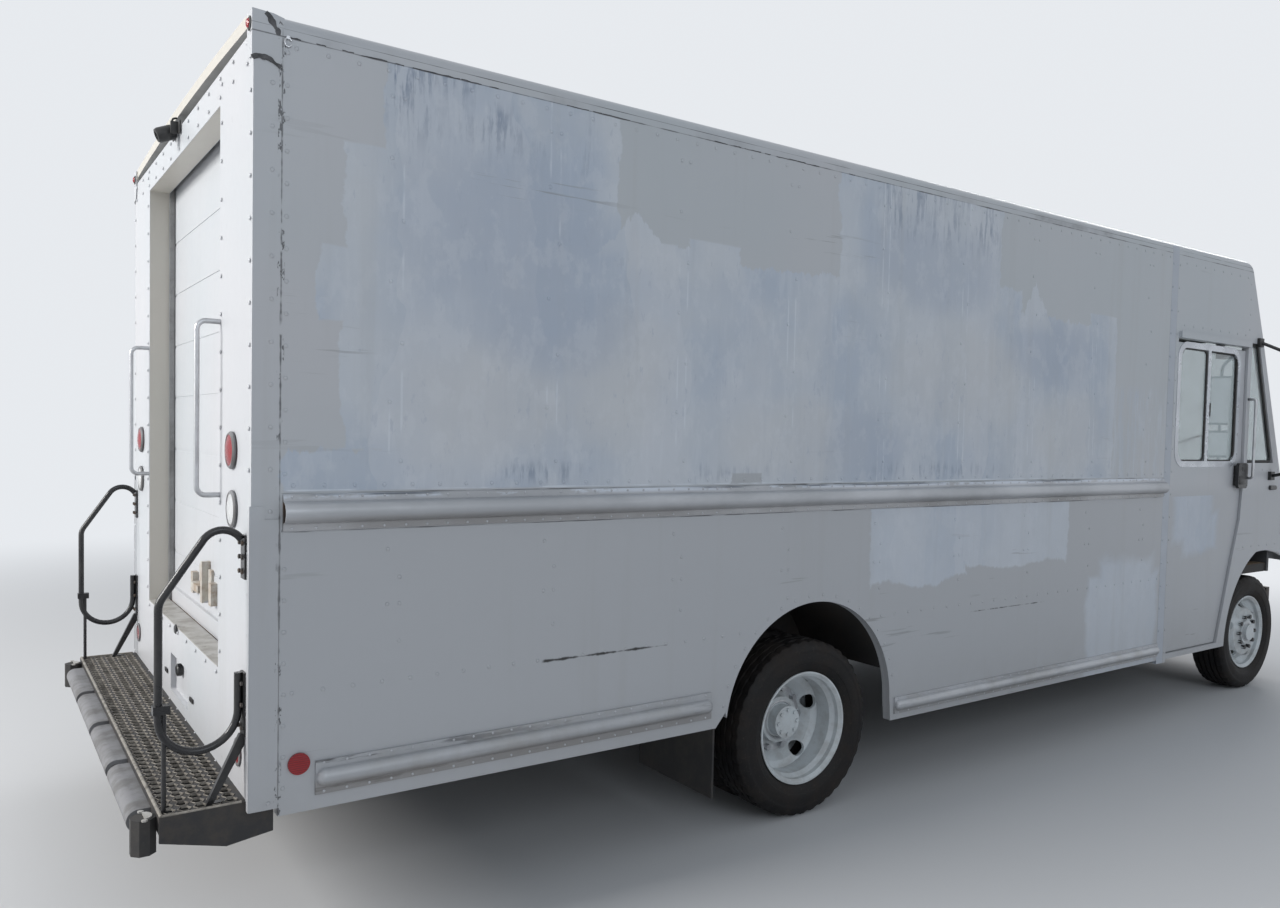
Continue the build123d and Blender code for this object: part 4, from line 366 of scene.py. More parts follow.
def rail_material():
    """Mill aluminium rails: a soft sheen, touch-up smears on top, black scrapes along the lower ones."""
    p = Paint("alloy_rail")
    along = p.noise(14.0, 5.0, 0.65, (0.10, 1, 1))
    patch = p.patches(0.38, 0.64, 2.6, 5.0, 0.6, (0.5, 1, 1))
    low_rail = p.step(p.z, 0.80, 0.75)
    high_rail = p.step(p.z, 1.0, 1.1)
    rear_end = p.step(p.x - REAR, 1.2, 0.25)
    scrape = low_rail * p.patches(0.55, 0.66, 20.0, 5.0, 0.7, (0.09, 1, 1)) * (rear_end * 0.75 + 0.35)
    dust = low_rail * p.patches(0.42, 0.70, 4.0, 5.0, 0.7)
    top = p.step(p.z, 1.515, 1.530) * p.patches(0.46, 0.54, 7.0, 5.0, 0.7, (0.35, 1, 1)) * high_rail
    dark = p.step(abs(p.z - 1.5335), 0.006, 0.001) * p.patches(0.46, 0.58, 3.0, 3.0, 0.6, (0.5, 1, 1))
    # painted shade, with some grime: the lower half of each rail is darkened in patches
    under = p.most([p.step(p.z, 1.474, 1.448) * high_rail, p.band(p.z, 0.616, 0.592, 0.52, 0.54),
                    p.band(p.z, 0.450, 0.428, 0.52, 0.50)])
    colour = p.layers(
        (0.505, 0.515, 0.540),
        (patch, (0.400, 0.410, 0.430)),
        (p.step(along, 0.52, 0.72) * 0.40, (0.62, 0.64, 0.67)),
        (p.math("MULTIPLY", scrape, 0.85, clamp=True), (0.085, 0.085, 0.09)),
        (dust * 0.45, (0.30, 0.285, 0.265)),
        (top * 0.85, (0.63, 0.68, 0.76)),
        (dark * 0.8, (0.08, 0.10, 0.13)),
        # painted shade, with some grime, on the rails' undersides
        (under * (patch * 0.3 + 0.35), (0.225, 0.21, 0.20)))
    p.bump(along + scrape, 0.12, 0.002)
    return p.finish(colour, patch * 0.12 + 0.30 + scrape * 0.15, 0.25)


def glass_material():
    p = Paint("glass")
    haze = p.patches(0.42, 0.75, 3.2, 4.0, 0.6)
    dust = p.patches(0.60, 0.72, 60.0, 3.0, 0.7)
    p.bump(haze, 0.05, 0.001)
    return p.finish(p.mix(haze, (0.70, 0.75, 0.76), (0.60, 0.64, 0.65)), (haze + dust) * 0.06 + 0.03,
                    IOR=1.45, Transmission_Weight=0.86)


def lens_material(name, deep, bright, through):
    """A moulded lamp lens with fine rings and prisms."""
    p = Paint(name)
    waves = 900.0
    prism = (p.math("SINE", (p.z + p.y) * waves) + p.math("SINE", (p.z - p.y) * waves)) * 0.25
    p.bump(prism, 0.4, 0.002)
    return p.finish(p.mix(p.step(prism, -0.4, 0.4), deep, bright), 0.16,
                    IOR=1.49, Coat_Weight=0.2, Transmission_Weight=through)


def tyre_material():
    """Black rubber with tan dust, thickest on the sidewall."""
    p = Paint("tyre")
    dust = p.patches(0.40, 0.72, 7.0, 6.0, 0.7)
    grit = p.noise(90.0, 3.0, 0.6)
    colour = p.layers((0.0085, 0.0080, 0.0085), (dust * 0.36, (0.050, 0.039, 0.032)),
                      (p.step(grit, 0.55, 0.75) * 0.3, (0.065, 0.052, 0.042)))
    p.bump(grit, 0.25, 0.002)
    return p.finish(colour, dust * 0.2 + 0.62, Specular_IOR_Level=0.25)


def board_material():
    """Laminated hardwood floor boards, worn and dirty."""
    p = Paint("floor_board")
    gap = p.step(abs(p.math("FRACT", p.y * 7.5) - 0.5), 0.475, 0.5)
    grain = p.noise(22.0, 5.0, 0.65, (0.12, 1, 1))
    colour = p.layers((0.20, 0.135, 0.085), (grain, (0.34, 0.25, 0.17)),
                      (p.patches(0.5, 0.75, 3.0, 4.0), (0.13, 0.115, 0.10)), (gap, (0.03, 0.025, 0.02)))
    p.bump(grain - gap, 0.3, 0.003)
    return p.finish(colour, 0.6)


def vinyl_material():
    """Black seat vinyl with a leather grain."""
    p = Paint("seat")
    cells = p.add("ShaderNodeTexVoronoi", p.coords)
    cells.inputs["Scale"].default_value = 420.0
    wear = p.patches(0.5, 0.75, 6.0, 4.0)
    p.bump(cells.outputs["Distance"], 0.35, 0.0012)
    return p.finish(p.mix(wear * 0.4, (0.028, 0.028, 0.030), (0.085, 0.082, 0.08)), 0.46, Coat_Weight=0.1)


WHITE = body_paint()
ALLOY = worn_paint("alloy", (0.50, 0.51, 0.54), (0.36, 0.37, 0.39), 0.32, 5.0, 0.5, 0.2)
RAIL = rail_material()
FRAME = worn_paint("window_alloy", (0.60, 0.62, 0.66), (0.42, 0.43, 0.46), 0.24, 7.0, 0.5, 0.55)
BARE = worn_paint("bare_metal", (0.52, 0.53, 0.55), (0.30, 0.30, 0.31), 0.30, 9.0, 0.5, 0.9)
RIM = worn_paint("rim_paint", (0.60, 0.635, 0.655), (0.33, 0.32, 0.305), 0.38, 11.0, 0.50)
TYRE = tyre_material()
RUBBER = worn_paint("rubber", (0.018, 0.018, 0.019), (0.07, 0.062, 0.055), 0.66, 8.0, 0.5)
GREY_RUBBER = worn_paint("grey_rubber", (0.20, 0.20, 0.21), (0.08, 0.075, 0.07), 0.62, 10.0, 0.6)
CHASSIS = worn_paint("chassis", (0.022, 0.022, 0.023), (0.095, 0.075, 0.058), 0.58, 6.0, 0.7)
CAST = worn_paint("cast", (0.055, 0.052, 0.050), (0.13, 0.078, 0.048), 0.62, 9.0, 0.7, 0.3)
STEEL = worn_paint("step_steel", (0.030, 0.030, 0.032), (0.075, 0.064, 0.054), 0.55, 14.0, 0.6, 0.3)
BLACK = worn_paint("rail_black", (0.012, 0.012, 0.014), (0.05, 0.048, 0.045), 0.26, 16.0, 0.35)
INSIDE = worn_paint("interior", (0.46, 0.46, 0.45), (0.30, 0.29, 0.275), 0.55, 4.0, 0.5)
# the floor's underside: a dark underbody colour, darkened further as painted shade where it shows in the
# wheel arches
UNDERBODY_AND_SHADE = worn_paint("under_floor_and_shade", (0.020, 0.019, 0.019), (0.050, 0.040, 0.033), 0.7, 5.0, 0.7)
SHADED = worn_paint("door_guides", (0.30, 0.30, 0.30), (0.12, 0.115, 0.11), 0.55, 9.0, 0.6)
RUSTED = worn_paint("latch_steel", (0.54, 0.52, 0.48), (0.30, 0.21, 0.14), 0.5, 17.0, 0.8, 0.3, 0.3)
SILL = worn_paint("worn_sill", (0.46, 0.45, 0.43), (0.24, 0.215, 0.19), 0.45, 12.0, 0.6, 0.3, 0.25)
GRATING = worn_paint("step_grating", (0.33, 0.305, 0.27), (0.085, 0.075, 0.066), 0.5, 19.0, 0.75, 0.4, 0.35)
DASH = worn_paint("dash", (0.055, 0.056, 0.060), (0.12, 0.115, 0.11), 0.6, 12.0, 0.4)
SHELL = worn_paint("mirror_shell", (0.016, 0.016, 0.017), (0.06, 0.058, 0.055), 0.42, 14.0, 0.4)
SILVER = worn_paint("mirror_face", (0.72, 0.75, 0.78), (0.55, 0.58, 0.60), 0.05, 3.0, 0.3, 1.0, 0.02)
CAULK = worn_paint("caulk", (0.12, 0.12, 0.125), (0.03, 0.03, 0.032), 0.7, 30.0, 0.8, 0.0, 0.6)
BOARD = board_material()
VINYL = vinyl_material()
GLASS = glass_material()
RED = lens_material("lamp_red", (0.19, 0.002, 0.006), (0.38, 0.005, 0.013), 0.1)
CLEAR = lens_material("lamp_clear", (0.66, 0.67, 0.68), (0.86, 0.87, 0.88), 0.25)
AMBER = lens_material("lamp_amber", (0.55, 0.16, 0.01), (0.85, 0.30, 0.03), 0.1)

NODE_PAINT = {
    WHITE: "side_panel_right side_panel_left rear_frame roll_door roof_panel front_cap cab_side_right "
           "cab_side_left cab_door_right cab_door_left nose hood",
    RAIL: "rub_rails",
    RIM: "rear_rims_right rear_rims_left front_rim_right front_rim_left",
    CHASSIS: "ladder_frame leaf_springs fuel_tank front_bumper grille",
    CAST: "rear_axle front_axle knuckle_right knuckle_left driveline exhaust",
    STEEL: "step_deck",
    GREY_RUBBER: "step_bumpers",
    RUBBER: "mud_flaps",
    BLACK: "handrails side_lamps",
    INSIDE: "bulkhead engine_cover",
    UNDERBODY_AND_SHADE: "floor",
    DASH: "dashboard steering_wheel",
    SHELL: "mirrors",
    GLASS: "cab_glass door_glass_right door_glass_left",
    RED: "rear_lamps",
    CLEAR: "headlamps",
    VINYL: "driver_seat",
}
for paint, names in NODE_PAINT.items():
    for name in names.split():
        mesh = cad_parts[name].data
        mesh.materials.clear()
        mesh.materials.append(paint)


def paint_where(name, paint, inside):
    """Gives a second material to the faces of a CAD node where inside(centre, normal) holds."""
    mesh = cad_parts[name].data
    mesh.materials.append(paint)
    index = len(mesh.materials) - 1
    for face in mesh.polygons:
        if inside(face.center, face.normal):
            face.material_index = index


for side, full, sign in SIDES:
    for name in (f"side_panel_{full}", f"cab_side_{full}", f"cab_door_{full}"):
        paint_where(name, INSIDE, lambda c, n, sign=sign: n.y * sign < -0.5 and abs(c.y) < SKIN - 0.010)
    # the door's window frame and the recess of its latch stand proud of the door
    paint_where(f"cab_door_{full}", FRAME, lambda c, n: abs(c.y) > DOOR_FACE + 0.001 or (
        abs(c.y) > DOOR_FACE - 0.0115 and at(5.66) < c.x < at(6.445) and 1.636 < c.z < 2.381))
    paint_where(f"cab_door_{full}", BLACK, lambda c, n: abs(c.y) > DOOR_FACE + 0.0035
                and c.x > at(6.405) and 1.44 < c.z < 1.65)
    # wheel nuts: node, paint, axle, radius of the ring, and how far out they start and end
    for node, paint, station, ring, low, high in (
        (f"front_rim_{full}", BLACK, FRONT_AXLE, 0.1125, 1.1400, 1.160),
        (f"rear_rims_{full}", BARE, REAR_AXLE, 0.1420, 0.9530, 0.985),
    ):
        paint_where(node, paint, lambda c, n, x=at(station), r=ring, a=low, b=high:
                    abs(math.hypot(c.x - x, c.z - AXLE_Z) - r) < 0.016 and a < abs(c.y) < b)
for name in ("roof_panel", "front_cap"):
    paint_where(name, INSIDE, lambda c, n: n.z < -0.4)
paint_where("roll_door", INSIDE, lambda c, n: n.x > 0.5)
paint_where("handrails", BARE, lambda c, n: abs(c.y) < 0.9 or (c.x > 0 and abs(c.y) > SKIN + 0.020))
paint_where("roll_door", RUSTED, lambda c, n: c.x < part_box("roll_door")[0].x + 0.040 and 1.02 < c.z < 1.24)
paint_where("rear_lamps", CLEAR, lambda c, n: 1.40 < c.z < 1.55)
paint_where("floor", BOARD, lambda c, n: n.z > 0.9 and c.z > 0.89)
paint_where("step_bumpers", RUBBER, lambda c, n: abs(c.y) > 1.055)
paint_where("rub_rails", CAST, lambda c, n: c.x < at(0.17)
            and math.hypot(abs(c.y) - SKIN - 0.006, c.z - 1.478) < 0.0335)
paint_where("rear_frame", SHADED, lambda c, n: c.x > REAR + 0.087)


# Mesh helpers
def piece(name, mesh_data, body, paint, smooth=40.0):
    """Turns a bmesh into an object that rides on a body."""
    mesh = bpy.data.meshes.new(name)
    bmesh.ops.recalc_face_normals(mesh_data, faces=mesh_data.faces)
    mesh_data.to_mesh(mesh)
    mesh_data.free()
    mesh.materials.append(paint)
    obj = bpy.data.objects.new(name, mesh)
    bpy.context.scene.collection.objects.link(obj)
    if smooth:
        for face in mesh.polygons:
            face.use_smooth = True
        mesh.set_sharp_from_angle(angle=math.radians(smooth))
    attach(obj, body)
    return obj


def bridge(bm, now, after, closed=True):
    """Joins two rings of vertices with quads."""
    count = len(now)
    for k in range(count if closed else count - 1):
        m = (k + 1) % count
        bm.faces.new((now[k], now[m], after[m], after[k]))


def circle(centre, side, other, radius, sides):
    """Points on a circle between two directions square to each other."""
    turns = [2 * math.pi * k / sides for k in range(sides)]
    return [centre + (side * math.cos(a) + other * math.sin(a)) * radius for a in turns]


def skin_into(bm, rings, closed=True):
    """Adds a form through rings of points, with its ends closed if asked."""
    loops = [[bm.verts.new(point) for point in ring] for ring in rings]
    for now, after in zip(loops, loops[1:]):
        bridge(bm, now, after)
    if closed:
        bm.faces.new(loops[-1])
        bm.faces.new(list(reversed(loops[0])))


def box_into(bm, centre, size, bevel):
    """Adds a bevelled box to a bmesh."""
    verts = bmesh.ops.create_cube(bm, size=1.0)["verts"]
    place = Matrix.Translation(centre) @ Matrix.Diagonal((*size, 1.0))
    bmesh.ops.transform(bm, matrix=place, verts=verts)
    edges = {e for v in verts for e in v.link_edges}
    bmesh.ops.bevel(bm, geom=list(edges), offset=bevel, segments=2, profile=0.5, affect="EDGES")


def disc_into(bm, centre, normal, rings, sides=24, closed=True):
    """Adds a turned form: rings are (radius, height along the normal)."""
    axis = Vector(normal).normalized()
    side = axis.orthogonal().normalized()
    other = axis.cross(side)
    skin_into(bm, [circle(Vector(centre) + axis * height, side, other, radius, sides)
                   for radius, height in rings], closed)


def tube_into(bm, points, radius, sides=8):
    """Adds a round bar along points; radius is one number or one for each point."""
    points = [Vector(p) for p in points]
    rings = []
    for index, point in enumerate(points):
        axis = (points[min(index + 1, len(points) - 1)] - points[max(index - 1, 0)]).normalized()
        side = axis.cross(Vector((0.31, 0.87, 0.39))).normalized()
        wide = radius[index] if isinstance(radius, list) else radius
        rings.append(circle(point, side, axis.cross(side), wide, sides))
    skin_into(bm, rings)


def rounded(points, radius, steps=6):
    """Replaces each inner corner of a run of points by an arc of points."""
    points = [Vector(p) for p in points]
    out = [points[0]]
    for before, corner, after in zip(points, points[1:], points[2:]):
        back = (before - corner).normalized()
        ahead = (after - corner).normalized()
        reach = min(radius / math.tan(back.angle(ahead) / 2), (before - corner).length * 0.49,
                    (after - corner).length * 0.49)
        start, end = corner + back * reach, corner + ahead * reach
        for k in range(steps + 1):
            t = k / steps
            out.append(start.lerp(corner, t).lerp(corner.lerp(end, t), t))
    out.append(points[-1])
    return out


def loop_of(corners, radius, steps=5):
    """A closed run of points with each corner rounded."""
    corners = [Vector(c) for c in corners]
    start = (corners[-1] + corners[0]) / 2
    return rounded([start, *corners, start], radius, steps)[:-1]


def wander(*place):
    """A steady noise value for a place."""
    return noise.noise(Vector(place))


def smeared_into(bm, points, radius, flat_side, seed, steps=9):
    """Adds a ragged bead of sealant along points, pressed against the face whose normal is along Y."""
    run = []
    widths = []
    points = [Vector(p) for p in points]
    for before, after in zip(points, points[1:]):
        for k in range(steps):
            point = before.lerp(after, k / steps)
            jitter = Vector((wander(*(point * 60 + Vector((seed, 0, 0)))), 0.0,
                             wander(*(point * 60 + Vector((0, seed, 5))))))
            run.append(point + jitter * radius * 0.45)
            widths.append(radius * (1.0 + 0.75 * wander(*(point * 45 + Vector((0, 0, seed))))))
    start = len(bm.verts)
    tube_into(bm, run, widths)
    bm.verts.ensure_lookup_table()
    for vert in list(bm.verts)[start:]:
        vert.co.y = flat_side + (vert.co.y - flat_side) * 0.45


def gasket_into(bm, points, normal, section):
    """Adds a closed strip along a flat loop; section holds (outwards, along the normal) corners."""
    points = [Vector(p) for p in points]
    normal = Vector(normal).normalized()
    count = len(points)
    middle = sum(points, Vector()) / count
    loops = []
    for index, point in enumerate(points):
        tangent = (points[(index + 1) % count] - points[index - 1]).normalized()
        out = tangent.cross(normal)
        if out.dot(point - middle) < 0:
            out.negate()
        loops.append([bm.verts.new(point + out * a + normal * b) for a, b in section])
    for index, now in enumerate(loops):
        bridge(bm, now, loops[(index + 1) % count])


def plate_into(bm, corners, offset):
    """Adds a flat plate: a loop of corners and the same loop moved by offset."""
    near, far = ([bm.verts.new(Vector(c) + Vector(move)) for c in corners] for move in ((0, 0, 0), offset))
    bm.faces.new(near)
    bm.faces.new(list(reversed(far)))
    bridge(bm, near, far)


def span(start, end, pitch):
    """Evenly spaced places from start to end, about pitch apart."""
    count = max(1, round(abs(end - start) / pitch))
    return [start + (end - start) * k / count for k in range(count + 1)]


def rivets(name, spots, body, paint, radius=0.0075, height=0.0032, sides=8):
    """One mesh of low domes; spots are (place, outward normal)."""
    bm = bmesh.new()
    rings = [(radius, -0.001), (radius * 0.96, height * 0.35), (radius * 0.62, height * 0.85),
             (radius * 0.2, height)]
    for place, normal in spots:
        disc_into(bm, place, normal, rings, sides)
    piece(name, bm, body, paint, 60.0)


# Rivets on the body: rows at the rails, pairs on each post, rows over the skirt and round the wheel arch
POSTS = [0.461 + 0.597 * k for k in range(10)]
POST_LEVELS = (2.839, 2.639, 2.438, 2.236, 2.034, 1.838, 1.641, 1.346, 1.250, 1.161, 1.034)
ROOF_CROWN = 3.040
ROOF_EDGE = 3.014
ROOF_HALF = 1.173


def roof_height(y):
    return ROOF_CROWN - (ROOF_CROWN - ROOF_EDGE) * (y / ROOF_HALF) ** 2


def side_spots(sign):
    """Rivet places on one side wall."""
    spots = []

    def rows(stations, heights):
        spots.extend(((at(x), sign * SKIN, z), (0, sign, 0)) for x in stations for z in heights)

    for x in span(0.13, 5.45, 0.098):
        rows([x], (2.918, 1.563))
        if abs(x - REAR_AXLE) > 0.36:
            rows([x], [0.902])
    for x in POSTS[:9]:
        for level, z in enumerate(POST_LEVELS):
            both = level in (0, 9)
            if both or level % 2:
                rows([x - 0.021], [z])
            if both or not level % 2:
                rows([x + 0.021], [z])
    rows([0.104], [z for z in span(0.60, 2.90, 0.1) if not 1.39 < z < 1.58])
    rows([0.060], span(0.56, 2.80, 0.128))
    for angle in span(12, 168, 9):
        turn = math.radians(angle)
        rows([REAR_AXLE + 0.545 * math.cos(turn)], [0.488 + 0.545 * math.sin(turn)])
    for z in span(0.42, 2.88, 0.145):
        rows((5.497, 5.575), [z])
    rows(span(5.66, 6.50, 0.12), (2.900, 2.510))
    rows([6.555], span(2.55, 2.86, 0.1))
    rows(span(6.60, 7.09, 0.12), (1.585, 1.045))
    return spots


def body_rivets(name, spots):
    rivets(name, spots, "body", WHITE)


def rear_spots(widths, heights):
    """Rivet places on the rear face."""
    return [((REAR, y, z), BACK) for y in widths for z in heights]


body_rivets("side_rivets", side_spots(-1) + side_spots(1))
spots = []
for sign in PAIR:
    for z in span(0.58, 2.90, 0.128):
        spots += rear_spots([sign * 1.196, sign * 0.792] if z > 0.93 else [sign * 1.196], [z])
spots += rear_spots(span(-1.15, 1.15, 0.19), (2.925, 2.862))
spots += rear_spots(span(-0.74, 0.74, 0.185), (0.885, 0.565))
body_rivets("rear_rivets", spots)

spots = [((at(x), y, roof_height(y)), (0, y * 0.04, 1)) for x in POSTS for y in span(-1.11, 1.11, 0.148)]
spots += [((at(x), sign * 1.150, ROOF_EDGE + 0.0015), (0, sign * 0.04, 1))
          for x in span(0.10, 6.25, 0.15) for sign in PAIR]
body_rivets("roof_rivets", spots)

# flange rivets of the rub rails: start, end and the two rows' heights
rails = ((0.095, 5.475, 1.428, 1.528), (0.202, 1.844, 0.570, 0.663), (2.996, 5.475, 0.414, 0.483))
spots = [((at(x), sign * (SKIN + 0.0083), z), (0, sign, 0)) for rear, front, *heights in rails
         for x in span(rear + 0.03, front - 0.03, 0.075) for sign in PAIR for z in heights]
rivets("rail_rivets", spots, "body", ALLOY, 0.005, 0.0024, 6)

for side, full, sign in SIDES:
    places = [(5.612, z) for z in span(0.46, 2.36, 0.135)] + [(x, 0.44) for x in span(5.66, 6.20, 0.135)]
    spots = [((at(x), sign * DOOR_FACE, z), (0, sign, 0)) for x, z in places]
    rivets(f"door_rivets_{side}", spots, f"door_{side}", WHITE, 0.006, 0.0018)

# Tyres: half a section from bead to tread centre, as (distance from the middle plane, radius), with the
# kinds of tread block by their first point
TYRE_HALF = 0.113
TYRE_SECTION = (
    (0.078, 0.2482), (0.086, 0.258), (0.092, 0.268), (0.0985, 0.276), (0.1045, 0.288), (0.1085, 0.300),
    (0.1102, 0.3015), (0.1112, 0.304), (0.1128, 0.318), (TYRE_HALF, 0.330), (0.1124, 0.345), (0.1108, 0.358),
    (0.1114, 0.360), (0.1106, 0.366), (0.1085, 0.372), (0.1060, 0.381), (0.1010, 0.391), (0.0950, 0.399),
    (0.090, 0.4035), (0.076, 0.4055), (0.060, 0.4062), (0.058, 0.3935), (0.052, 0.3935), (0.050, 0.4066),
    (0.034, 0.4072), (0.024, 0.4075), (0.022, 0.3945), (0.015, 0.3945), (0.013, 0.4078), (0.0, 0.408))
SHOULDER = range(16, 21)
RIB = range(23, 26)
CROWN = range(28, 30)
TURNS = 120


def tyre_into(bm, centre):
    last = len(TYRE_SECTION) - 1
    profile = [(y, r, k) for k, (y, r) in enumerate(TYRE_SECTION)]
    profile += [(-y, r, k) for y, r, k in reversed(profile[:-1])]
    loops = []
    for turn in range(TURNS):
        angle = 2 * math.pi * turn / TURNS
        ring = []
        for index, (y, r, k) in enumerate(profile):
            shift = 1 if index > last else 0
            if k in SHOULDER and (turn + shift) % 3 == 0:
                r -= 0.007
            if k in RIB and (turn + 2 * shift) % 4 == 0:
                r -= 0.005
            if k in CROWN and turn % 5 == 0:
                r -= 0.003
            ring.append(bm.verts.new(centre + Vector((r * math.cos(angle), y, r * math.sin(angle)))))
        loops.append(ring)
    for turn in range(TURNS):
        bridge(bm, loops[turn], loops[(turn + 1) % TURNS])


for side, full, sign in SIDES:
    for node, name, body in (
        (f"front_tyre_{full}", f"front_tyre_dressed_{side}", f"front_wheel_{side}"),
        (f"rear_tyres_{full}", f"rear_tyres_dressed_{side}", f"rear_wheels_{side}"),
    ):
        low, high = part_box(node)
        middle = (low + high) / 2
        bm = bmesh.new()
        for y in (low.y + TYRE_HALF, high.y - TYRE_HALF) if node.startswith("rear") else (middle.y,):
            tyre_into(bm, Vector((middle.x, y, middle.z)))
        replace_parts(piece(name, bm, body, TYRE, 30.0), node)

# Seals, lamps and small fittings
GLASS_AT = SKIN - 0.018
SCREEN_TOP = Vector((at(6.752), 0.0, 2.520))
SCREEN_FOOT = Vector((at(7.120), 0.0, 1.560))
SCREEN_HALF = SKIN - 0.045
BEAD = ((-0.007, -0.004), (-0.007, 0.003), (-0.003, 0.006), (0.003, 0.006), (0.007, 0.002), (0.007, -0.004))


def upright_box(stations, y, heights):
    """The corners of an upright rectangle along the body."""
    (rear, front), (low, high) = stations, heights
    return [(at(rear), y, low), (at(front), y, low), (at(front), y, high), (at(rear), y, high)]


# Door windows: a bead round each pane and a catch on the sliding one
for side, full, sign in SIDES:
    bm = bmesh.new()
    for stations in ((5.669, 6.018), (6.060, 6.438)):
        pane = upright_box(stations, sign * (FRAME_FACE - 0.010), (1.646, 2.371))
        gasket_into(bm, loop_of(pane, 0.045), (0, sign, 0), BEAD)
    box_into(bm, (at(6.078), sign * (FRAME_FACE - 0.007), 1.985), (0.020, 0.010, 0.090), 0.003)
    box_into(bm, (at(6.078), sign * (FRAME_FACE - 0.0035), 2.005), (0.012, 0.006, 0.026), 0.002)
    piece(f"window_beads_{side}", bm, f"door_{side}", RUBBER)

    # rubber along the door's edges, and the recess round the latch
    bm = bmesh.new()
    edge = [(at(x), sign * (DOOR_FACE - 0.010), z) for x, z in (
        (5.600, 0.4125), (6.2585, 0.4125), (6.4265, 0.9505), (6.5225, 1.2385), (6.5415, 1.4305),
        (6.5415, 2.4035), (5.600, 2.4035))]
    tube_into(bm, rounded(edge, 0.030, 4), 0.0045)
    piece(f"door_edge_{side}", bm, f"door_{side}", RUBBER)

    bm = bmesh.new()
    y = sign * (SKIN + 0.0255)
    disc_into(bm, (at(6.495), y - sign * 0.001, 1.592), (0, sign, 0),
              [(0.013, 0), (0.013, 0.0015), (0.009, 0.003), (0.004, 0.0022)], 20)
    box_into(bm, (at(6.478), y - sign * 0.0005, 1.515), (0.072, 0.004, 0.060), 0.002)
    box_into(bm, (at(6.478), y + sign * 0.002, 1.493), (0.060, 0.006, 0.010), 0.002)
    piece(f"latch_detail_{side}", bm, f"door_{side}", SHELL)

# Quarter windows and windscreen: black rubber round fixed glass
bm = bmesh.new()
lean = (SCREEN_FOOT.x - SCREEN_TOP.x) / (SCREEN_TOP.z - SCREEN_FOOT.z)
for side, full, sign in SIDES:
    y = sign * (GLASS_AT + 0.001)
    corners = [(at(6.606), y, 1.640)]
    corners += [(SCREEN_TOP.x + (SCREEN_TOP.z - z) * lean - back, y, z)
                for z, back in ((1.640, 0.100), (2.454, 0.069))]
    corners += [(at(6.606), y, 2.454)]
    wide = ((-0.012, 0.0), (-0.012, 0.006), (-0.006, 0.010), (0.004, 0.010), (0.008, 0.006), (0.008, 0.0))
    gasket_into(bm, loop_of(corners, 0.035), (0, sign, 0), wide)
piece("quarter_seals", bm, "body", RUBBER)

down = (SCREEN_FOOT - SCREEN_TOP).normalized()
screen_out = Vector((-down.z, 0.0, down.x)).normalized()


def on_screen(y, along):
    """A place on the windscreen's outer face, a share of the way down it."""
    return SCREEN_TOP.lerp(SCREEN_FOOT, along) + Vector((-0.012, y, 0.0))


bm = bmesh.new()
for inner, outer in ((0.016, SCREEN_HALF - 0.016), (-0.016, -SCREEN_HALF + 0.016)):
    corners = [on_screen(y, along)
               for y, along in ((inner, 0.015), (outer, 0.015), (outer, 0.985), (inner, 0.985))]
    wide = ((-0.010, 0.0), (-0.010, 0.005), (0.0, 0.008), (0.015, 0.008), (0.015, 0.0))
    gasket_into(bm, loop_of(corners, 0.050), screen_out, wide)
piece("screen_seals", bm, "body", RUBBER)

# wipers: pivots at the foot of the screen, arm and blade lying across the glass
bm = bmesh.new()
reach = -0.46
for y in (0.62, -0.18):
    pivot = on_screen(y, 0.975) + screen_out * 0.010
    disc_into(bm, pivot - screen_out * 0.010, screen_out, [(0.019, 0), (0.019, 0.016), (0.012, 0.024)], 16)
    tip = on_screen(y + reach * 0.66, 0.80) + screen_out * 0.030
    tube_into(bm, [pivot + screen_out * 0.012, pivot.lerp(tip, 0.3) + screen_out * 0.010, tip], 0.0055)
    low = on_screen(y + reach * 0.20, 0.885) + screen_out * 0.017
    high = on_screen(y + reach * 1.15, 0.73) + screen_out * 0.017
    tube_into(bm, [low, low.lerp(high, 0.5) + screen_out * 0.004, high], 0.0070)
    tube_into(bm, [low - screen_out * 0.008, high - screen_out * 0.008], 0.0040, 6)
piece("wipers", bm, "body", BLACK)

# Mirror glass on the rear of each head, with a raised lip
bm = bmesh.new()
lip = bmesh.new()
MIRROR_Y = 1.480
MIRROR_HALF = 0.084
x = at(6.900) - 0.0325
for sign in PAIR:
    for low, high in ((1.916, 2.244), (1.676, 1.844)):
        near, far = sign * MIRROR_Y - MIRROR_HALF, sign * MIRROR_Y + MIRROR_HALF
        loop = loop_of([(x, near, low), (x, far, low), (x, far, high), (x, near, high)], 0.020, 4)
        plate_into(bm, loop, (-0.001, 0, 0))
        gasket_into(lip, loop, BACK, ((-0.001, 0.0), (-0.001, 0.003), (0.003, 0.004), (0.006, 0.0)))
piece("mirror_glass", bm, "body", SILVER, 0)
piece("mirror_lips", lip, "body", SHELL)

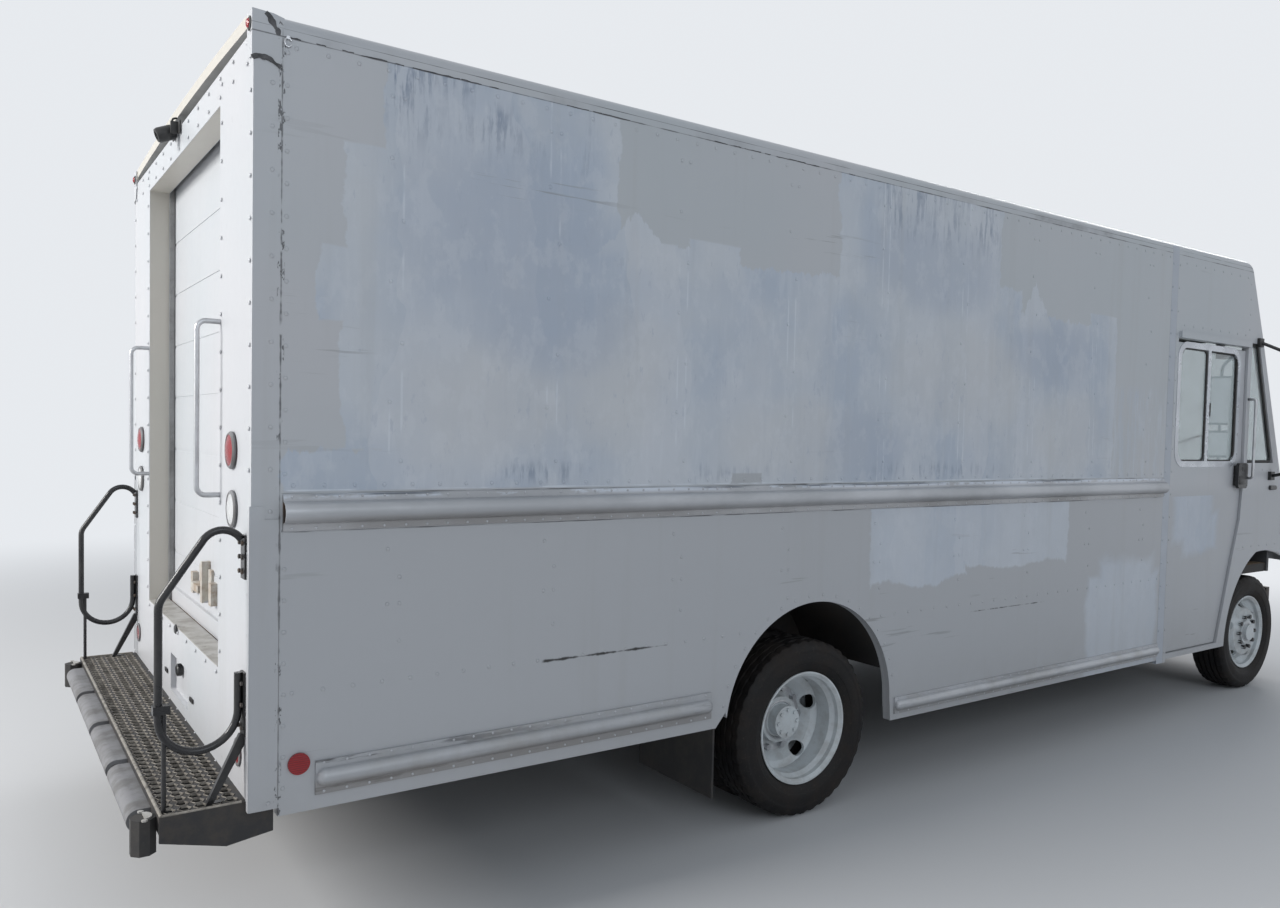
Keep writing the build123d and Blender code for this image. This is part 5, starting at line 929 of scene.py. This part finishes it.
# Roof corners: a cast cap over each rear corner, a small red marker, black sealant round the rail and a hook
MARKER_Y, MARKER_Z = 1.192, 2.971
HOOK_AT = at(0.104)
bm, markers, grommets, seal, hooks = (bmesh.new() for k in range(5))
for sign in PAIR:
    outline = ((-0.0015, 2.866), (0.012, 2.874), (0.040, 2.874), (0.070, 2.862), (0.093, 2.839),
               (0.093, 3.000), (0.060, 3.008), (-0.0015, 3.010))
    plate_into(bm, [(at(x), sign * (SKIN + 0.0002), z) for x, z in outline], (0, sign * 0.0018, 0))
    rear_outline = ((SKIN + 0.0018, 2.866), (1.172, 2.872), (1.158, 2.905), (1.158, 3.010),
                    (SKIN + 0.0018, 3.010))
    plate_into(bm, [(REAR - 0.0002, sign * y, z) for y, z in rear_outline], (-0.0018, 0, 0))
    disc_into(markers, (REAR - 0.004, sign * MARKER_Y, MARKER_Z), BACK,
              [(0.015, 0), (0.015, 0.004), (0.011, 0.008), (0.005, 0.0095)], 20)
    disc_into(grommets, (REAR - 0.0018, sign * MARKER_Y, MARKER_Z), BACK,
              [(0.022, 0), (0.022, 0.003), (0.016, 0.005), (0.015, 0.002)], 20)
    band = ((0.040, -0.001, 3.006), (0.052, 0.001, 2.992), (0.060, 0.002, 2.975), (0.072, 0.001, 2.958),
            (0.076, 0.001, 2.944))
    smeared_into(seal, [(at(x), sign * (SKIN + y), z) for x, y, z in band], 0.0105,
                 sign * (SKIN + 0.001), 2.0 + sign)
    edge = ((-0.001, 2.862), (0.020, 2.872), (0.050, 2.870), (0.086, 2.846))
    smeared_into(seal, [(at(x), sign * (SKIN + 0.002), z) for x, z in edge], 0.0075,
                 sign * (SKIN + 0.002), 7.0 + sign)
    ring = [(HOOK_AT + 0.011 * math.cos(a), sign * (SKIN + 0.004), 2.930 + 0.013 * math.sin(a))
            for a in [math.radians(k * 30) for k in range(1, 12)]]
    tube_into(hooks, ring, 0.0028)
    shank = [(HOOK_AT, sign * (SKIN + y), z) for y, z in ((-0.004, 2.944), (0.005, 2.945))]
    tube_into(hooks, shank, 0.006)
piece("roof_caps", bm, "body", WHITE, 0)
piece("roof_markers", markers, "body", RED)
piece("marker_grommets", grommets, "body", RUBBER)
piece("corner_sealant", seal, "body", CAULK)
piece("roof_hooks", hooks, "body", BARE)

# Sealant smeared along the roof rail
bm = bmesh.new()
for sign in PAIR:
    for place in span(0.12, 2.60, 0.085):
        gap = wander(place * 2.3, sign * 3.0, 0.7)
        if gap < 0.02:
            continue
        half = 0.014 + 0.085 * abs(wander(place * 7.1, sign, 4.2))
        z = RAIL_LOW - 0.003 + 0.004 * gap
        run = [(at(place + half * t), sign * (SKIN + 0.0005), z + 0.0025 * wander(place * 9, t * 3, 1.0))
               for t in (-1.0, -0.5, 0.0, 0.5, 1.0)]
        tube_into(bm, run, [0.0012 + 0.0022 * abs(wander(place * 13, k * 2.1, 3.0)) for k in range(5)], 6)
piece("rail_sealant", bm, "body", CAULK)

# Guards over the lower rear corners
bm = bmesh.new()
low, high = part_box("rear_frame")[0].z + 0.002, 1.500
for sign in PAIR:
    outline = ((-0.0002, low), (0.038, low), (0.044, low + 0.006), (0.044, high - 0.006), (0.038, high),
               (-0.0002, high))
    plate_into(bm, [(at(x), sign * (SKIN + 0.0004), z) for x, z in outline], (0, sign * 0.0022, 0))
    wide = SKIN + 0.0026
    outline = ((wide, low), (1.200, low), (1.200, high), (wide, high))
    plate_into(bm, [(REAR - 0.0004, sign * y, z) for y, z in outline], (-0.0020, 0, 0))
piece("corner_guards", bm, "body", WHITE, 0)

# Rear camera under the roof edge, on two short wings
CAMERA_Y, CAMERA_Z = 0.028, 2.935
camera_way = Vector((-1, 0, -0.45))
bm = bmesh.new()
disc_into(bm, (REAR - 0.012, CAMERA_Y, CAMERA_Z), camera_way,
          [(0.024, 0.0), (0.030, 0.010), (0.030, 0.062), (0.026, 0.072), (0.018, 0.074), (0.016, 0.066)])
for wing in PAIR:
    for back, aside, size in ((0.018, 0.048, (0.034, 0.006, 0.050)), (0.004, 0.062, (0.006, 0.034, 0.050)),
                              (0.020, 0.038, (0.016, 0.022, 0.016))):
        box_into(bm, (REAR - back, CAMERA_Y + wing * aside, CAMERA_Z + 0.003), size, 0.002)
lead = [(REAR - back, CAMERA_Y, z) for back, z in ((0.020, 2.950), (0.020, 2.985), (0.002, 2.990))]
tube_into(bm, rounded(lead, 0.02), 0.004)
piece("rear_camera", bm, "body", SHELL)
bm = bmesh.new()
disc_into(bm, Vector((REAR - 0.012, CAMERA_Y, CAMERA_Z)) + camera_way.normalized() * 0.060, camera_way,
          [(0.015, 0.0), (0.013, 0.006), (0.006, 0.009)], 20)
piece("camera_lens", bm, "body", GLASS)

# Sill of the rear doorway: a round black lamp over the plate recess, slot plates
bm = bmesh.new()
disc_into(bm, (REAR - 0.0005, 0.023, 0.898), BACK,
          [(0.020, 0), (0.020, 0.004), (0.014, 0.008), (0.006, 0.009)], 20)
disc_into(bm, (REAR + 0.020, 0.023, 0.726), BACK,
          [(0.026, 0), (0.026, 0.016), (0.019, 0.021), (0.017, 0.014)])
for y in (-0.300, 0.262):
    corners = ((y - 0.034, 0.668), (y + 0.034, 0.668), (y + 0.034, 0.686), (y - 0.034, 0.686))
    plate_into(bm, loop_of([(REAR - 0.0002, y, z) for y, z in corners], 0.008, 4), (-0.0018, 0, 0))
piece("sill_fittings", bm, "body", BLACK)

# Lamp surrounds: a grommet round each rear lamp
bm = bmesh.new()
for sign in PAIR:
    for y, z, radius, thick in (
        (0.975, 1.667, 0.051, 0.011), (0.985, 1.475, 0.051, 0.009), (1.070, 0.694, 0.035, 0.004),
    ):
        rings = [(radius + 0.011, 0.0), (radius + 0.011, thick * 0.5), (radius + 0.006, thick),
                 (radius + 0.001, thick), (radius + 0.0005, thick * 0.3)]
        disc_into(bm, (REAR - 0.0005, sign * y, z), BACK, rings, 36, False)
piece("lamp_grommets", bm, "body", GREY_RUBBER)

# Wheels: a valve stem and a hub ring, with how far out the disc and the hub stand
stem_angle = math.radians(52)
for side, full, sign in SIDES:
    for name, station, out, radius, hub_out, hub, body in (
        ("front", FRONT_AXLE, 1.090, 0.150, 1.1485, 0.070, f"front_wheel_{side}"),
        ("rear", REAR_AXLE, 0.985, 0.205, 1.0005, 0.092, f"rear_wheels_{side}"),
    ):
        bm = bmesh.new()
        aside = Vector((math.cos(stem_angle), 0.0, math.sin(stem_angle)))
        foot = Vector((at(station), sign * out, AXLE_Z)) + aside * (radius * 1.14)
        stem = [foot, foot + Vector((0, sign * 0.030, 0)),
                foot + Vector((0, sign * 0.058, 0)) - aside * 0.012]
        tube_into(bm, rounded(stem, 0.01), 0.0042)
        disc_into(bm, (at(station), sign * (hub_out - 0.001), AXLE_Z), (0, sign, 0),
                  [(hub, 0), (hub, 0.003), (hub - 0.006, 0.004), (hub - 0.010, 0.001)], 40, False)
        piece(f"{name}_valves_{side}", bm, body, BARE)

# Front: bezels, turn lamps, clearance lamps over the windscreen
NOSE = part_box("nose")[1].x
HEADLAMP_Y = 0.610
bm, amber, bases = (bmesh.new() for k in range(3))
for sign in PAIR:
    disc_into(bm, (NOSE - 0.002, sign * HEADLAMP_Y, 1.010), AHEAD,
              [(0.106, 0), (0.106, 0.004), (0.101, 0.008), (0.092, 0.006), (0.0895, 0.001)], 48, False)
    turn_lamp = (NOSE - 0.001, sign * HEADLAMP_Y, 0.830)
    disc_into(amber, turn_lamp, AHEAD, [(0.048, 0), (0.048, 0.006), (0.036, 0.011), (0.016, 0.013)], 32)
    disc_into(bases, turn_lamp, AHEAD,
              [(0.057, 0), (0.057, 0.004), (0.050, 0.007), (0.048, 0.002)], 32, False)
lean_out = Vector((0.428, 0.0, 0.180)).normalized()
for y in (-1.02, -0.18, 0.0, 0.18, 1.02):
    centre = Vector((at(6.609), y, 2.860))
    disc_into(amber, centre + lean_out * 0.003, lean_out,
              [(0.030, 0), (0.030, 0.010), (0.022, 0.018), (0.010, 0.021)])
    disc_into(bases, centre, lean_out, [(0.037, 0), (0.037, 0.006), (0.031, 0.008)], closed=False)
piece("headlamp_bezels", bm, "body", BARE)
piece("amber_lamps", amber, "body", AMBER)
piece("amber_bases", bases, "body", RUBBER)

# Roof: a lapped seam over each post
bm = bmesh.new()
for x in POSTS:
    section = ((-0.021, -0.002), (-0.020, 0.0016), (0.020, 0.0016), (0.021, -0.002))
    loops = [[bm.verts.new((at(x) + dx, y, roof_height(y) + dz)) for dx, dz in section]
             for y in span(-1.165, 1.165, 0.20)]
    for now, after in zip(loops, loops[1:]):
        bridge(bm, now, after, False)
piece("roof_seams", bm, "body", WHITE, 30.0)

# Front cap: a strip over the joint between its arch and the brow above the windscreen
bm = bmesh.new()
arch = ((6.4960, 3.0156), (6.5095, 3.0075), (6.5225, 2.9988), (6.5360, 2.9918), (6.5493, 2.9890))
section = [(at(x), -1.15, z) for x, z in arch] + [(at(x), -1.15, z - 0.0020) for x, z in reversed(arch)]
plate_into(bm, section, (0, 2.30, 0))
piece("brow_strip", bm, "body", WHITE, 30.0)

# Mud flaps: clamp bars and bolts
bm = bmesh.new()
low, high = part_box("mud_flaps")
FLAP_Y = 0.900
clamp_z = high.z - 0.060
for sign in PAIR:
    box_into(bm, (low.x - 0.004, sign * FLAP_Y, clamp_z), (0.006, 0.500, 0.040), 0.001)
    for y in span(-0.22, 0.22, 0.11):
        disc_into(bm, (low.x - 0.007, sign * FLAP_Y + y, clamp_z), BACK, [(0.010, 0), (0.010, 0.006)], 6)
piece("flap_clamps", bm, "body", CAST)

# Rear step: cells of the grating with worn rims, the edge strip, and the block tops
bm = bmesh.new()
rims = bmesh.new()
CELL = 0.045
ALONG, ACROSS = Vector(AHEAD), Vector((0, 1, 0))
for row in range(5):
    for column in range(52):
        x = at(-0.125) + (row - 2) * CELL
        y = (column - 25.5) * CELL
        lift = 0.0022 + 0.0012 * wander(x * 9, y * 9, 0.3)
        wall = ((0.0186, -0.0062), (0.0178, -0.040))
        rim = ((0.0208, -0.0005), (0.0202, lift), (0.0190, lift), (0.0184, -0.0040))
        for mesh_data, rings in ((bm, wall), (rims, rim)):
            skin_into(mesh_data, [circle(Vector((x, y, DECK_TOP + z)), ALONG, ACROSS, radius, 6)
                                  for radius, z in rings], False)
piece("deck_cells", bm, "body", STEEL, 0)
piece("deck_rims", rims, "body", GRATING, 0)

bm = bmesh.new()
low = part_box("step_deck")[0]
edge = [(low.x + 0.006, y, DECK_TOP + 0.0015 + 0.0008 * wander(0, y * 5, 0))
        for y in span(-1.186, 1.186, 0.06)]
tube_into(bm, edge, 0.0055)
for sign in PAIR:
    tube_into(bm, [(x, sign * 1.184, DECK_TOP + 0.001) for x in (low.x + 0.008, REAR - 0.012)], 0.0050)
piece("deck_edge", bm, "body", GRATING)

bm = bmesh.new()
BLOCK_Y = 1.125
top = DECK_TOP - 0.010
for sign in PAIR:
    centre = Vector((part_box("step_bumpers")[0].x + 0.036, sign * BLOCK_Y, top))
    arc = [centre + Vector((0.024 * math.cos(a), sign * 0.030 * math.sin(a), 0.0))
           for a in [math.radians(15 * k - 90) for k in range(13)]]
    plate_into(bm, arc, (0, 0, 0.005))
    for y in (-0.040, 0.040):
        disc_into(bm, (centre.x - 0.002, sign * BLOCK_Y + y, top), UP,
                  [(0.009, 0), (0.009, 0.005), (0.005, 0.006)], 6)
piece("block_tops", bm, "body", SILL, 0)

# Handrail brackets: bolt heads beside the tube
bm = bmesh.new()
for sign in PAIR:
    for z in (1.292, 1.337, 1.382, 0.800, 0.872, 0.940):
        for y in (1.131, 1.169):
            disc_into(bm, (REAR - 0.0075, sign * y, z), BACK,
                      [(0.008, 0), (0.008, 0.006), (0.005, 0.0075)], 6)
piece("bracket_bolts", bm, "body", CAST)

# Threshold of the rear doorway, worn through to bare metal
bm = bmesh.new()
box_into(bm, (REAR + 0.0425, 0.0, 0.9065), (0.084, 1.512, 0.003), 0.001)
for y in span(-0.70, 0.70, 0.14):
    disc_into(bm, (REAR + 0.022, y, 0.9078), UP, [(0.007, 0), (0.0055, 0.0018), (0.002, 0.002)], 10)
piece("threshold", bm, "body", SILL, 0)

# Driver's seat: sewn vinyl pads on a boxed stand
SEAT_X = at(6.280)
SEAT_Y = 0.620


def pad(name, centre, half, lean, channels, crown):
    """A crowned pad with sewn channels across it and a welt round its edge."""
    bm = bmesh.new()
    bmesh.ops.create_cube(bm, size=2.0)
    bmesh.ops.subdivide_edges(bm, edges=bm.edges, cuts=27, use_grid_fill=True)
    # a rounded block, squarer as the power grows, swollen in the middle and drawn in at the seams
    power = 7.0
    for vert in bm.verts:
        u, v, w = vert.co
        norm = (abs(u) ** power + abs(v) ** power + abs(w) ** power) ** (1 / power)
        u, v, w = u / norm, v / norm, w / norm
        swell = (1 - u * u) * (1 - v * v)
        x = u * half[0] * (1 - 0.035 * (1 - v * v) + 0.012 * (1 - w * w))
        y = v * half[1] * (1 - 0.030 * (1 - u * u) + 0.012 * (1 - w * w))
        z = w * half[2] * (0.86 + crown * swell * (1 if w > 0 else 0.2))
        if w > 0.5:
            for place in channels:
                z -= 0.010 * math.exp(-((u - place) / 0.035) ** 2) * (1 - v ** 6)
            z -= 0.006 * math.exp(-((abs(v) - 0.80) / 0.03) ** 2) * (1 - u ** 6)
        z += 0.0012 * wander(u * 4, v * 4, w * 3)
        vert.co = Vector((x, y, z))

    def bowed(value, reach):
        return reach * 0.955 * math.copysign(abs(value) ** 0.22, value)

    welt = [(bowed(math.cos(a), half[0]), bowed(math.sin(a), half[1]), half[2] * 0.60)
            for a in [2 * math.pi * (k + 0.5) / 72 for k in range(72)]]
    gasket_into(bm, welt, UP, [(0.0035 * math.cos(t) + 0.002, 0.0035 * math.sin(t))
                                      for t in [math.pi * k / 3 for k in range(6)]])
    place = Matrix.Translation(centre) @ Matrix.Rotation(lean, 4, "Y")
    bmesh.ops.transform(bm, matrix=place, verts=bm.verts)
    obj = piece(name, bm, "body", VINYL, 60.0)
    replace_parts(obj, "driver_seat")


pad("seat_cushion", (SEAT_X, SEAT_Y, 1.296), (0.238, 0.248, 0.068), 0.0, (-0.36, 0.0, 0.36), 0.13)
pad("seat_back", (SEAT_X - 0.228, SEAT_Y, 1.650), (0.325, 0.238, 0.050), math.radians(-90 - 8),
    (-0.45, -0.1, 0.25, 0.6), 0.13)
bm = bmesh.new()
box_into(bm, (SEAT_X, SEAT_Y, 1.060), (0.330, 0.330, 0.310), 0.012)
box_into(bm, (SEAT_X, SEAT_Y, 0.906), (0.338, 0.338, 0.010), 0.002)
for sign in PAIR:
    box_into(bm, (SEAT_X, SEAT_Y + sign * 0.150, 1.222), (0.420, 0.030, 0.014), 0.003)
for x in span(-0.12, 0.12, 0.06):
    box_into(bm, (SEAT_X + x, SEAT_Y - 0.1655, 1.090), (0.010, 0.004, 0.130), 0.001)
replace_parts(piece("seat_stand", bm, "body", CHASSIS), "driver_seat")

# Camera, light and stage
CAMERA_AT = (-4.42866, -4.35371, 1.75454)
PITCH, YAW, ROLL = -0.0394, 0.9618, 0.0215
LENS = 27.36
SHIFT = 0.0130
BACKDROP = 0.86
WORLD_LIGHT = 0.44
PALE_BLUE = (0.93, 0.96, 1.0)

look = Vector((math.cos(YAW) * math.cos(PITCH), math.sin(YAW) * math.cos(PITCH), math.sin(PITCH)))
right = Vector((math.sin(YAW), -math.cos(YAW), 0.0))
up = right.cross(look)
right, up = (right * math.cos(ROLL) + up * math.sin(ROLL)), (up * math.cos(ROLL) - right * math.sin(ROLL))
camera_data = bpy.data.cameras.new("camera")
camera_data.lens = LENS
camera_data.sensor_width = 36.0
camera_data.shift_y = SHIFT
camera_data.clip_end = 300.0
camera = bpy.data.objects.new("camera", camera_data)
camera.matrix_world = Matrix.Translation(CAMERA_AT) @ Matrix((right, up, -look)).transposed().to_4x4()
bpy.context.scene.collection.objects.link(camera)
bpy.context.scene.camera = camera


def seen_directly(tree):
    """1 for rays from the camera, a mirror or through glass, else 0."""
    path = tree.nodes.new("ShaderNodeLightPath")
    total = path.outputs["Is Camera Ray"]
    for name in ("Is Glossy Ray", "Is Transmission Ray"):
        join = tree.nodes.new("ShaderNodeMath")
        join.operation = "MAXIMUM"
        tree.links.new(total, join.inputs[0])
        tree.links.new(path.outputs[name], join.inputs[1])
        total = join.outputs[0]
    return total


world = bpy.data.worlds.new("studio")
bpy.context.scene.world = world
world.use_nodes = True
tree = world.node_tree
seen = seen_directly(tree)
for socket, kind, first, result, unseen, shown in (
    ("Strength", "FLOAT", 2, 0, WORLD_LIGHT, BACKDROP),
    ("Color", "RGBA", 6, 2, (0.86, 0.93, 1.0, 1.0), (*PALE_BLUE, 1.0)),
):
    choice = tree.nodes.new("ShaderNodeMix")
    choice.data_type = kind
    tree.links.new(seen, choice.inputs[0])
    choice.inputs[first].default_value = unseen
    choice.inputs[first + 1].default_value = shown
    tree.links.new(choice.outputs[result], tree.nodes["Background"].inputs[socket])


def lamp(name, place, target, size, power, tint=(1, 1, 1)):
    data = bpy.data.lights.new(name, "AREA")
    data.shape = "RECTANGLE"
    data.size, data.size_y = size
    data.energy = power
    data.color = tint
    obj = bpy.data.objects.new(name, data)
    obj.location = place
    obj.rotation_mode = "QUATERNION"
    obj.rotation_quaternion = (Vector(target) - Vector(place)).to_track_quat("-Z", "Y")
    bpy.context.scene.collection.objects.link(obj)


lamp("key", (-15.0, 2.0, 6.5), (-3.5, 0.0, 1.4), (5.0, 4.0), 1850.0, (1.0, 0.985, 0.955))
lamp("fill", (-3.0, -15.0, 8.0), (0.0, 0.0, 1.2), (9.0, 6.0), 330.0, (0.84, 0.92, 1.0))
lamp("front", (12.0, 4.0, 7.0), (2.0, 0.0, 1.2), (6.0, 5.0), 800.0)

floor_mesh = bmesh.new()
bmesh.ops.create_circle(floor_mesh, cap_ends=True, radius=120.0, segments=96)
floor_data = bpy.data.meshes.new("stage_floor")
floor_mesh.to_mesh(floor_data)
floor_mesh.free()
stage_floor = bpy.data.objects.new("stage_floor", floor_data)
bpy.context.scene.collection.objects.link(stage_floor)
p = Paint("stage_floor")
far = p.step(p.math("SQRT", p.x * p.x + p.y * p.y), 5.5, 13.0)
shine = far * Value(p, seen_directly(p.tree))
p.finish(p.mix(shine, (0.62, 0.62, 0.63), (0.0, 0.0, 0.0)), 0.9,
         Specular_IOR_Level=0.0, Emission_Color=PALE_BLUE, Emission_Strength=shine * BACKDROP)
floor_data.materials.append(p.material)

bpy.context.scene.view_settings.view_transform = "Standard"
